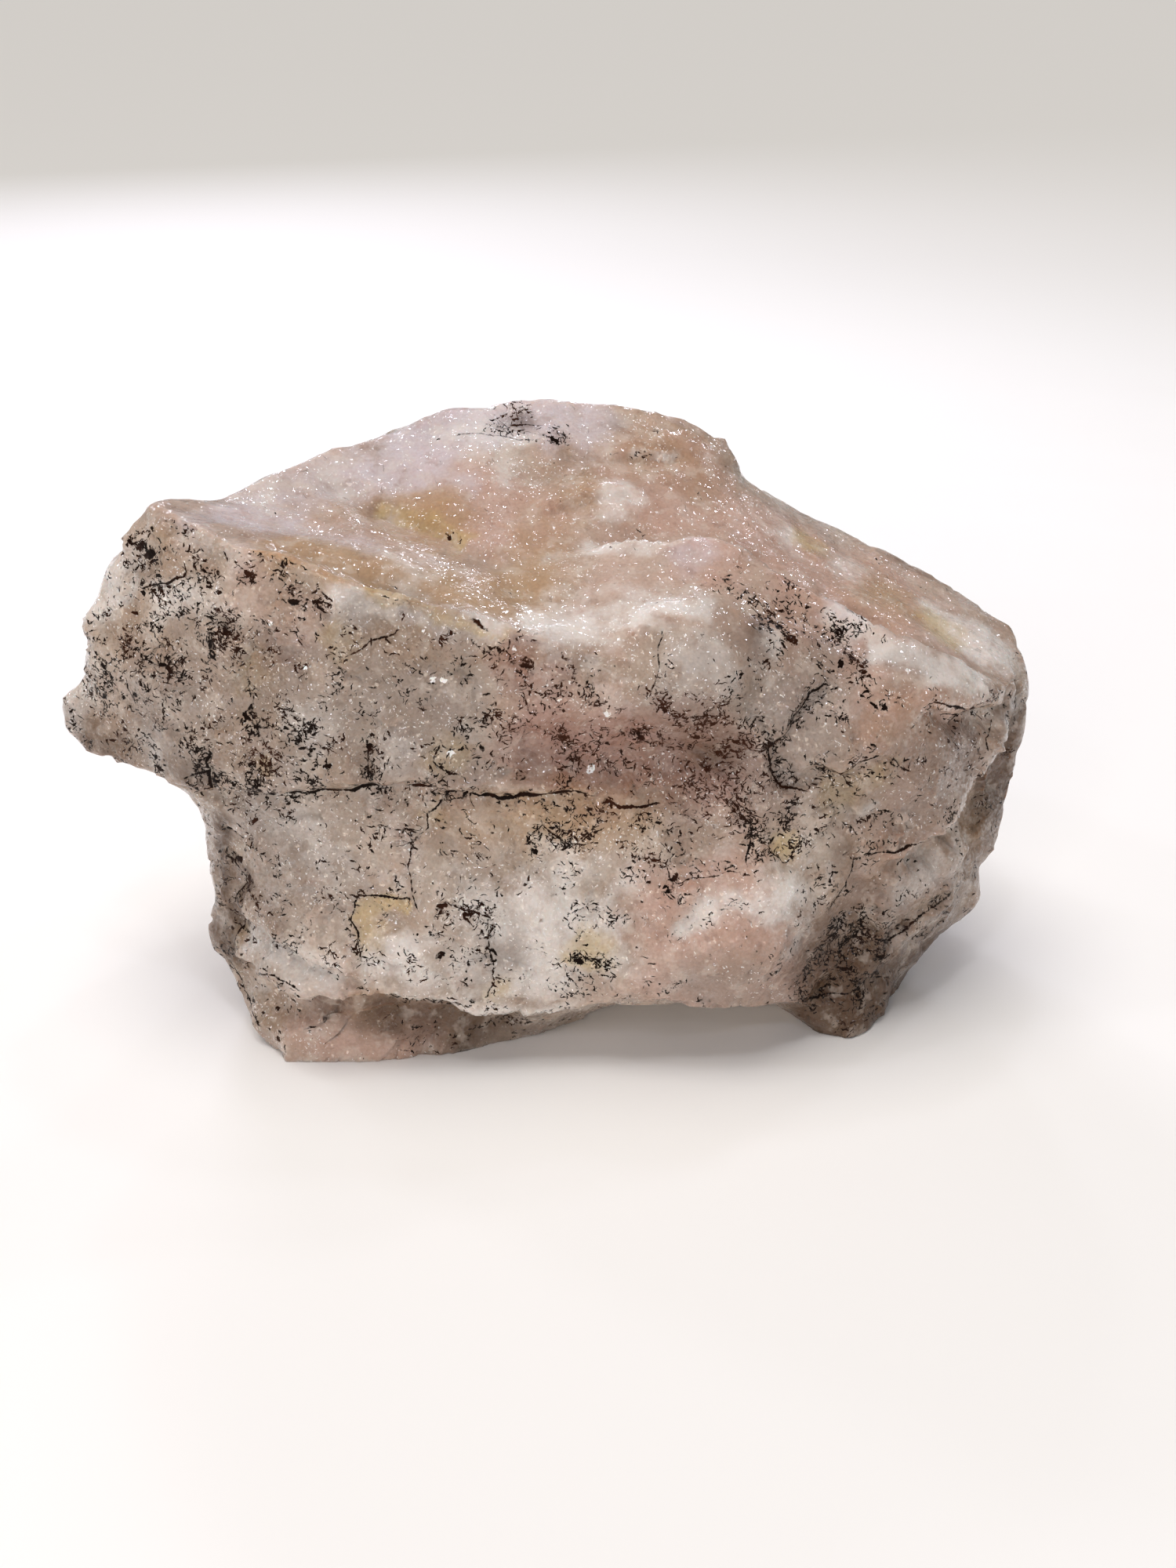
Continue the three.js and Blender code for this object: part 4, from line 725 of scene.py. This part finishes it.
# the smoke tint grows darker towards the bottom on the hidden side, and in patches there
zones["dark_stain_and_painted_shade"] += (0.5 * (1 - ramp(p[:, 2], 2, 14)) * hidden
                   + hidden * ramp(layered(p, 16, 2, 65), 0.3, 0.7) * 0.4)
zones["ochre"] += 0.10 + 0.30 * ramp(blotch, -0.1, 0.5) * side_face
zones["yellow"] += hidden * side_face * ramp(layered(p, 12, 2, 66), 0.45, 0.65) * 0.8

# How thick the black specks lie.
black = zones.pop("black") * 0.5
black += hidden * side_face * ramp(layered(p, 9, 2, 67), 0.35, 0.75) * 0.7
speck = 0.55 * side_face + 0.06 + 0.45 * black
for at, strength, radius in SPECKLED:
    speck += strength * spot(p, at, radius)
for at, strength, radius in CLEAN:
    speck *= 1 - strength * spot(p, at, radius)
zones["speck"] = speck
zones["wet"] = smooth_top

# Cracks again, as the shader draws them: signed distance in mm from the nearest, and how open it is there.
FAR = 4     # mm from a mark, past which the distance no longer counts
nearest = np.full(len(p), np.inf)
crack_side = np.zeros(len(p))
crack_open = np.zeros(len(p))
for gape, line in CRACKS.values():
    far, along, side = trail(p + sway, calm, line)
    reach = far - 0.6 * gape * fade(along, 0.12)
    nearer = reach < nearest
    nearest = np.where(nearer, reach, nearest)
    crack_side = np.where(nearer, np.clip(far, 0, FAR) * side, crack_side)
    crack_open = np.where(nearer, gape * fade(along, 0.12) * (1 - ramp(far, 1.2, 2.6)), crack_open)
zones["crack_side"] = crack_side
zones["crack_open"] = crack_open

# Clots and painted glints: distance in mm from the edge of the nearest. The hidden side has some clots at
# random.
HIDDEN_CLOTS = 60
draw = np.random.default_rng(11)
behind = np.flatnonzero((hidden > 0.6) & (side_face > 0.6))
chosen = draw.choice(behind, HIDDEN_CLOTS, replace=False)
more = [(*p[k], draw.uniform(0.6, 2.0)) for k in chosen]
clot_away = np.full(len(p), float(FAR))
for x, y, z, reach in CLOTS + more:
    clot_away = np.minimum(clot_away, np.linalg.norm(p + 0.5 * sway - (x, y, z), axis=1) - 0.8 * reach)
zones["clot_away"] = clot_away
painted_glint_away = np.full(len(p), float(FAR))
for x, y, z, reach in PAINTED_GLINTS:
    painted_glint_away = np.minimum(painted_glint_away, np.linalg.norm(p - (x, y, z), axis=1) - reach)
zones["painted_glint_away"] = painted_glint_away
SIGNED = ("crack_side", "clot_away", "painted_glint_away")
for name, value in zones.items():
    store = skin.attributes.new(name, "FLOAT", "POINT")
    low, high = (-FAR, FAR) if name in SIGNED else (0, 1)
    store.data.foreach_set("value", np.clip(value, low, high).astype(np.float32))


def linear(code):
    """An sRGB hex colour as the linear red, green, blue and alpha that Blender's sockets take."""
    parts = [int(code[k:k + 2], 16) / 255 for k in (1, 3, 5)]
    return [c / 12.92 if c <= 0.04045 else ((c + 0.055) / 1.055) ** 2.4 for c in parts] + [1.0]


stone = bpy.data.materials.new("massive_rose_quartz_broken")
stone.use_nodes = True
tree = stone.node_tree
tree.nodes.clear()


def add(kind, sockets=(), take=0, **settings):
    """Adds one node and gives back one of its outputs, the first or the one called `take`. `settings` are the
    node's own choices, and `sockets` pairs an input's name or number with a value, or with another node's
    output to link to it."""
    made = tree.nodes.new("ShaderNode" + kind)
    for name, value in settings.items():
        setattr(made, name, value)
    for name, value in dict(sockets).items():
        if isinstance(value, bpy.types.NodeSocket):
            tree.links.new(value, made.inputs[name])
        else:
            made.inputs[name].default_value = value
    return made.outputs[take] if len(made.outputs) else made


# Massive quartz is translucent, milky to pink, and glassy where it broke. Clouds about 15 mm wide, pale veils
# and a soft mottle of 4 mm run through it.
PER_MM = 1 / MM
SOFT = {"interpolation_type": "SMOOTHSTEP"}
where = add("TexCoord", take="Object")
held = {name: add("Attribute", take="Fac", attribute_name=name) for name in zones}
cloud = add("TexNoise", {"Vector": where, "Scale": PER_MM / 15, "Detail": 3})
cloud = add("MapRange", {"Value": cloud, "From Min": 0.33, "From Max": 0.68}, **SOFT)
colour = add("Mix", {0: cloud, 6: linear("#9a8775"), 7: linear("#bfafa0")}, 2, data_type="RGBA")
veil = add("TexNoise", {"Vector": where, "Scale": PER_MM / 9, "Detail": 5, "Roughness": 0.6,
                        "Distortion": 0.4})
veil = add("MapRange", {"Value": veil, "From Min": 0.53, "From Max": 0.60, "To Max": 0.34}, **SOFT)
colour = add("Mix", {0: veil, 6: colour, 7: linear("#dcd3ce")}, 2, data_type="RGBA")
STAINS = {
    # tint: (colour, mottle size in mm, how ragged, from, to, most of it)
    "rose": ("#c59f8e", 8.0, 1.0, 0.05, 1.25, 0.75),
    # the lilac tint is painted sheen
    "painted_sheen": ("#d5cbd0", 7.0, 1.2, 0.10, 1.00, 0.78),
    "ochre": ("#96785a", 7.0, 1.2, 0.15, 1.25, 0.55),
    "honey": ("#ae8b61", 6.0, 1.2, 0.10, 1.15, 0.70),
    # the milk tint is milky quartz, with a little painted light
    "milk_and_painted_light": ("#e9e3dd", 6.0, 1.6, 0.14, 1.00, 0.80),
    "yellow": ("#c4aa72", 4.0, 1.3, 0.20, 1.00, 0.62),
    "rust": ("#87594a", 6.0, 1.1, 0.10, 1.20, 0.72),
    # the shade tint's grey is partly painted shade
    "grey_and_painted_shade": ("#827368", 9.0, 0.6, 0.10, 1.20, 0.75),
    # the smoke tint is dark stain and painted shade
    "dark_stain_and_painted_shade": ("#4b321b", 8.0, 0.8, 0.06, 1.05, 0.90),
}
for tint, (code, size, ragged, low, high, most) in STAINS.items():
    tear = add("TexNoise", {"Vector": where, "Scale": PER_MM / size, "Detail": 5, "Roughness": 0.62})
    tear = add("Math", {0: tear, 1: 0.5}, operation="SUBTRACT")
    tear = add("Math", {0: tear, 1: ragged, 2: held[tint]}, operation="MULTIPLY_ADD")
    share = add("MapRange", {"Value": tear, "From Min": low, "From Max": high, "To Max": most}, **SOFT)
    colour = add("Mix", {0: share, 6: colour, 7: linear(code)}, 2, data_type="RGBA")
mottle = add("TexNoise", {"Vector": where, "Scale": PER_MM / 4.2, "Detail": 3, "Roughness": 0.55})
darker = add("MapRange", {"Value": mottle, "From Min": 0.42, "From Max": 0.28, "To Max": 0.4}, **SOFT)
colour = add("Mix", {0: darker, 6: colour, 7: linear("#c4ac9c")}, 2, data_type="RGBA", blend_type="MULTIPLY")
lighter = add("MapRange", {"Value": mottle, "From Min": 0.54, "From Max": 0.66, "To Max": 0.24}, **SOFT)
colour = add("Mix", {0: lighter, 6: colour, 7: linear("#e2d6c9")}, 2, data_type="RGBA")

# The broken grains give it a sugary look, lighter and darker every 0.6 mm.
sugar = add("TexNoise", {"Vector": where, "Scale": PER_MM / 0.6, "Detail": 1})
colour = add("Mix", {0: 0.18, 6: colour, 7: sugar}, 2, data_type="RGBA", blend_type="OVERLAY")

# Thin plates in the quartz, bent and at every angle, which the break cuts into short strokes. Each is the
# middle of a cell in a pattern that is drawn out along the plate and not across it. A plate is kept where its
# own random number is under `share`.
bent = add("TexNoise", {"Vector": where, "Scale": PER_MM / 1.7, "Detail": 3, "Roughness": 0.62}, "Color")
bent = add("VectorMath", {0: bent, 1: (1.9 * MM,) * 3, 2: where}, operation="MULTIPLY_ADD")
THIN = (0.25, 0.16)     # how far from a cell's middle, in parts of it, a plate fades out and is full
WIDE = (0.29, 0.21)
BROAD = (0.31, 0.25)
DOT = (0.34, 0.18)


def plates(size, long, level, turn, share, kept, edge):
    """Strokes of plates whose cells are `size` mm thick and `long` times as wide, turned by two angles."""
    lain = add("Mapping", {"Vector": bent, "Rotation": (0.0, level, turn), "Scale": (1.0, long, long)},
               vector_type="TEXTURE")
    away = add("TexVoronoi", {"Vector": lain, "Scale": PER_MM / size})
    number = add("SeparateXYZ", {0: away.node.outputs["Color"]})
    number = add("Math", {0: number, 1: -1 / kept, 2: share}, operation="MULTIPLY_ADD")
    chosen = add("MapRange", {"Value": number, "From Min": 0.0, "From Max": 0.05})
    stroke = add("MapRange", {"Value": away, "From Min": edge[0], "From Max": edge[1]})
    return add("Math", {0: stroke, 1: chosen}, operation="MULTIPLY")


# Bruised grains and painted glints of tiny cleavage faces: white dashes up to 1 mm long, in crowds, and a few
# wider painted glints.
crowd = add("TexNoise", {"Vector": where, "Scale": PER_MM / 7, "Detail": 2}, "Color")
crowd = add("SeparateXYZ", {0: crowd})
crowd = add("MapRange", {"Value": crowd, "From Min": 0.42, "From Max": 0.66, "To Min": 0.03, "To Max": 0.58})
bruise_and_painted_glint = add("Math", {0: plates(0.36, 2.8, 0.5, 0.4, crowd, 1.0, THIN),
                      1: plates(0.5, 2.8, -0.8, -0.5, crowd, 1.0, THIN)}, operation="MAXIMUM")
painted_glint = add("Math", {0: sugar, 1: -1.6, 2: held["painted_glint_away"]}, operation="MULTIPLY_ADD")
painted_glint = add("MapRange", {"Value": painted_glint, "From Min": -0.8, "From Max": -1.0})
clean = add("MapRange", {"Value": held["dark_stain_and_painted_shade"], "From Min": 0.2, "From Max": 0.7, "To Min": 0.75,
                         "To Max": 0.1})
bruise_and_painted_glint = add("Math", {0: bruise_and_painted_glint, 1: clean}, operation="MULTIPLY")
bruise_and_painted_glint = add("Math", {0: bruise_and_painted_glint, 1: painted_glint}, operation="MAXIMUM")
colour = add("Mix", {0: bruise_and_painted_glint, 6: colour, 7: linear("#fdfaf7")}, 2, data_type="RGBA")

# Black mica and iron, in strokes 1 to 3 mm long. Real ones are 0.1 to 0.3 mm wide, and these 0.3 mm, to let
# them show. They crowd where `speck` is high and round the clots, and fainter dots lie between them.
crowd = add("TexNoise", {"Vector": where, "Scale": PER_MM / 6, "Detail": 3, "Roughness": 0.6})
thick = add("Math", {0: crowd, 1: 0.9, 2: -0.14}, operation="MULTIPLY_ADD")
thick = add("Math", {0: held["speck"], 1: 0.30, 2: thick}, operation="MULTIPLY_ADD")
nest = add("MapRange", {"Value": held["clot_away"], "From Min": 2.6, "From Max": 0.0, "To Max": 0.07})
hoard = add("MapRange", {"Value": held["clot_away"], "From Min": 1.4, "From Max": -0.4, "To Max": 0.95},
            **SOFT)
near = add("MapRange", {"Value": held["crack_open"], "From Min": 0.0, "From Max": 0.3, "To Max": 0.06})
thick = add("Math", {0: thick, 1: nest}, operation="ADD")
thick = add("Math", {0: thick, 1: near}, operation="ADD")
share = add("MapRange", {"Value": thick, "From Min": 0.43, "From Max": 0.78, "To Min": 0.02, "To Max": 0.9},
            **SOFT)
dark = plates(0.75, 1.5, 0.4, 1.1, share, 1.3, DOT)
dark = add("Math", {0: dark, 1: 0.35}, operation="MULTIPLY")
STROKES = [
    # (thickness in mm, how long, two turns, where they crowd, how many are kept, edge)
    (0.6, 5.5, 0.1, 0.3, share, 1.0, WIDE), (0.55, 5.5, 0.9, -0.4, share, 1.0, WIDE),
    (0.65, 5.5, 1.7, 0.2, share, 1.0, WIDE), (0.6, 5.5, -0.7, 0.5, share, 1.0, WIDE),
    (1.15, 3.4, 1.2, -0.6, share, 0.7, THIN), (1.0, 3.4, -0.3, 0.8, share, 0.7, THIN),
    (1.7, 2.8, 0.5, 0.9, hoard, 1.0, BROAD), (1.5, 3.0, -0.9, 0.1, hoard, 1.0, BROAD),
    (1.9, 2.4, 1.4, -0.8, hoard, 1.0, BROAD),
]
for stroke in STROKES:
    dark = add("Math", {0: dark, 1: plates(*stroke)}, operation="MAXIMUM")

# Where they are thickest they join in branching threads, which are parts of the borders between bent cells.
for size in (2.1, 1.4):
    border = add("TexVoronoi", {"Vector": bent, "Scale": PER_MM / size}, feature="DISTANCE_TO_EDGE")
    border = add("MapRange", {"Value": border, "From Min": 0.17 / size, "From Max": 0.08 / size})
    gate = add("TexNoise", {"Vector": where, "Scale": PER_MM / (0.8 * size), "Detail": 2})
    gate = add("Math", {0: gate, 1: thick}, operation="ADD")
    gate = add("MapRange", {"Value": gate, "From Min": 1.19, "From Max": 1.24})
    thread = add("Math", {0: border, 1: gate}, operation="MULTIPLY")
    dark = add("Math", {0: dark, 1: thread}, operation="MAXIMUM")

# Black clots of the same mica, with ragged edges, where `clot_away` is under nothing.
clot = add("TexNoise", {"Vector": where, "Scale": PER_MM / 1.5, "Detail": 4, "Roughness": 0.75,
                        "Distortion": 1.2})
clot = add("Math", {0: clot, 1: -7.0, 2: held["clot_away"]}, operation="MULTIPLY_ADD")
clot = add("MapRange", {"Value": clot, "From Min": -3.6, "From Max": -3.8})
dark = add("Math", {0: dark, 1: clot}, operation="MAXIMUM")

# Cracks, black inside: `crack_side` is the distance from the nearest and `crack_open` how open it is.
frayed = add("TexNoise", {"Vector": where, "Scale": PER_MM / 0.8, "Detail": 3, "Roughness": 0.6})
gap = add("Math", {0: held["crack_side"]}, operation="ABSOLUTE")
gap = add("Math", {0: frayed, 1: 0.9, 2: gap}, operation="MULTIPLY_ADD")
pinch = add("TexNoise", {"Vector": where, "Scale": PER_MM / 3.2, "Detail": 2})
pinch = add("MapRange", {"Value": pinch, "From Min": 0.38, "From Max": 0.62, "To Min": 0.65, "To Max": 1.25})
pinch = add("Math", {0: held["crack_open"], 1: pinch}, operation="MULTIPLY")
gap = add("Math", {0: pinch, 1: -0.62, 2: gap}, operation="MULTIPLY_ADD")
gap = add("MapRange", {"Value": gap, "From Min": 0.54, "From Max": 0.40})
there = add("MapRange", {"Value": held["crack_open"], "From Min": 0.02, "From Max": 0.12})
gap = add("Math", {0: gap, 1: there}, operation="MULTIPLY")
dark = add("Math", {0: dark, 1: gap}, operation="MAXIMUM")

# The marks are black, and brown where the stone is rusty.
brown = add("TexNoise", {"Vector": where, "Scale": PER_MM / 7})
brown = add("Math", {0: held["rust"], 1: 0.3, 2: brown}, operation="MULTIPLY_ADD")
brown = add("MapRange", {"Value": brown, "From Min": 0.48, "From Max": 0.75})
mica = add("Mix", {0: brown, 6: linear("#150b06"), 7: linear("#381d10")}, 2, data_type="RGBA")
colour = add("Mix", {0: dark, 6: colour, 7: mica}, 2, data_type="RGBA")

# The broken grains are tiny flat mirrors at all angles, which gives the sparkle, and the break between them
# is as smooth as glass. The worn top has low ripples, drawn out, that catch the light in streaks.
soft = add("TexNoise", {"Vector": where, "Scale": PER_MM / 2.8, "Detail": 3, "Roughness": 0.5})
calmer = add("Math", {0: held["wet"], 1: -0.6, 2: 1.0}, operation="MULTIPLY_ADD")
soft = add("Math", {0: soft, 1: calmer}, operation="MULTIPLY")
relief = add("Bump", {"Height": soft, "Distance": 0.8 * MM, "Strength": 0.7})
drawn = add("Mapping", {"Vector": where, "Rotation": (0.0, 0.0, 0.35), "Scale": (0.35, 1.0, 1.0)})
streaks = add("TexNoise", {"Vector": drawn, "Scale": PER_MM / 1.3, "Detail": 2, "Roughness": 0.5})
streaks = add("Math", {0: streaks, 1: held["wet"]}, operation="MULTIPLY")
relief = add("Bump", {"Height": streaks, "Distance": 0.12 * MM, "Strength": 0.6, "Normal": relief})
tilt = add("TexVoronoi", {"Vector": where, "Scale": PER_MM / 0.6}, "Color")
tilt = add("VectorMath", {0: tilt, 1: (0.5, 0.5, 0.5)}, operation="SUBTRACT")
tilt_by = add("Math", {0: held["wet"], 1: -0.7, 2: 1.0}, operation="MULTIPLY_ADD")
tilt = add("VectorMath", {0: tilt, "Scale": tilt_by}, operation="SCALE")
waves = add("TexNoise", {"Vector": drawn, "Scale": PER_MM / 1.7, "Detail": 1})
waves = add("Math", {0: waves, 1: held["wet"]}, operation="MULTIPLY")
waves = add("Bump", {"Height": waves, "Distance": 0.5 * MM, "Strength": 1.0, "Normal": relief})
mirrors = add("VectorMath", {0: waves, 1: tilt}, operation="ADD")
mirrors = add("VectorMath", {0: mirrors}, operation="NORMALIZE")
duller = add("TexNoise", {"Vector": where, "Scale": PER_MM / 2.2})
duller = add("MapRange", {"Value": duller, "From Min": 0.35, "From Max": 0.65, "To Min": 0.26,
                          "To Max": 0.48})

# The marks and the dark stains with painted shade are dull. Light goes about 4 mm into the clear quartz, red
# the deepest.
QUARTZ_IOR = 1.544
dull = add("Math", {0: held["dark_stain_and_painted_shade"], 1: 0.6}, operation="MULTIPLY")
dull = add("Math", {0: dark, 1: dull}, operation="MAXIMUM")
glass = add("Math", {0: dull, 1: -0.9, 2: 0.9}, operation="MULTIPLY_ADD")
deep = add("Math", {0: dark, 1: -0.5, 2: 0.5}, operation="MULTIPLY_ADD")
shine = add("Math", {0: dull, 1: -0.30, 2: 0.35}, operation="MULTIPLY_ADD")
shader = add("BsdfPrincipled", {
    "Base Color": colour, "Roughness": duller, "Normal": relief, "IOR": QUARTZ_IOR,
    "Specular IOR Level": shine, "Subsurface Weight": deep, "Subsurface Scale": 4 * MM,
    "Subsurface Radius": (1.0, 0.62, 0.48), "Coat Weight": glass, "Coat Roughness": 0.06,
    "Coat IOR": QUARTZ_IOR, "Coat Normal": mirrors})
add("OutputMaterial", {"Surface": shader})
skin.materials.clear()
skin.materials.append(stone)

chunk = bpy.data.objects.new("rose_quartz_chunk", skin)
bpy.context.scene.collection.objects.link(chunk)
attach(chunk, "root")
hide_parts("chunk")

# ----------------------------------------------------------------------------------------------------------
# The table it stands on, pale and matt, and the studio round it: a weak even sky, a wide high window, a soft
# lamp in front, a soft lamp behind, and small lamps all round that give the broken grains their glints.
# ----------------------------------------------------------------------------------------------------------
FLOOR_HALF = 12.0
floor_mesh = bpy.data.meshes.new("floor")
floor_mesh.from_pydata([(-FLOOR_HALF, -FLOOR_HALF, 0), (FLOOR_HALF, -FLOOR_HALF, 0),
                        (FLOOR_HALF, FLOOR_HALF, 0), (-FLOOR_HALF, FLOOR_HALF, 0)], [], [(0, 1, 2, 3)])
floor = bpy.data.objects.new("floor", floor_mesh)
bpy.context.scene.collection.objects.link(floor)
paper = bpy.data.materials.new("matt_white_paper")
paper.use_nodes = True
paper_shader = paper.node_tree.nodes["Principled BSDF"]
paper_shader.inputs["Base Color"].default_value = linear("#f4f3f1")
paper_shader.inputs["Roughness"].default_value = 0.9
paper_shader.inputs["Specular IOR Level"].default_value = 0.1
floor_mesh.materials.append(paper)

sky = bpy.data.worlds.new("studio")
bpy.context.scene.world = sky
sky.use_nodes = True
sky.node_tree.nodes["Background"].inputs["Color"].default_value = linear("#f7f8fb")
sky.node_tree.nodes["Background"].inputs["Strength"].default_value = 0.18


def lamp(name, kind, place, aim, strength, tint, size, mirrored=True):
    """One lamp at a place, turned to shine at another, both in metres. `size` is its width, or a sun's angle
    in degrees. A lamp that isn't `mirrored` lights the stone with no image of itself in the glassy grains."""
    data = bpy.data.lights.new(name, kind)
    data.energy = strength
    data.color = linear(tint)[:3]
    made = bpy.data.objects.new(name, data)
    if kind == "SUN":
        data.angle = math.radians(size)
    else:
        data.size = size
    bpy.context.scene.collection.objects.link(made)
    made.visible_glossy = mirrored
    made.location = place
    way = np.array(place, float) - np.array(aim, float)
    flat = math.hypot(way[0], way[1])
    made.rotation_euler = (math.atan2(flat, way[2]), 0, math.atan2(way[0], -way[1]))


lamp("high_window", "SUN", (-0.15, 0.03, 1.0), (0, 0, 0), 1.80, "#fff9f2", 40, mirrored=False)
lamp("front_softbox", "AREA", (-0.30, -1.00, 0.45), (0, 0, 0.06), 2.5, "#fff0df", 0.36)
lamp("back_softbox", "AREA", (-0.35, 1.00, 0.58), (0, 0, 0.09), 3.0, "#e9e8fb", 0.30, mirrored=False)
GLINTS = [
    (-0.22, 0.55, 0.50), (0.10, 0.60, 0.42), (-0.45, -0.10, 0.60), (0.0, -0.25, 0.80), (0.40, -0.80, 0.30),
    (-0.10, -0.90, 0.20), (-0.80, -0.60, 0.35), (0.40, 0.30, 0.55), (-0.50, 0.35, 0.42), (0.05, 0.28, 0.80),
    (-0.30, -0.65, 0.60), (0.25, -0.55, 0.65),
]
for number, place in enumerate(GLINTS):
    lamp("glint_%d" % number, "AREA", place, (0, 0, 0.07), 0.28, "#eef0ff", 0.05)

# ----------------------------------------------------------------------------------------------------------
# The camera stands in front of the stone and looks 27 degrees down at it.
# ----------------------------------------------------------------------------------------------------------
DOWN = 27
lens = bpy.data.cameras.new("camera")
lens.lens = 40
lens.sensor_width = 36
camera = bpy.data.objects.new("camera", lens)
bpy.context.scene.collection.objects.link(camera)
camera.location = (0.00647, -0.35074, 0.21389)
camera.rotation_euler = (math.radians(90 - DOWN), 0, 0)
bpy.context.scene.camera = camera
bpy.context.scene.view_settings.view_transform = "Standard"
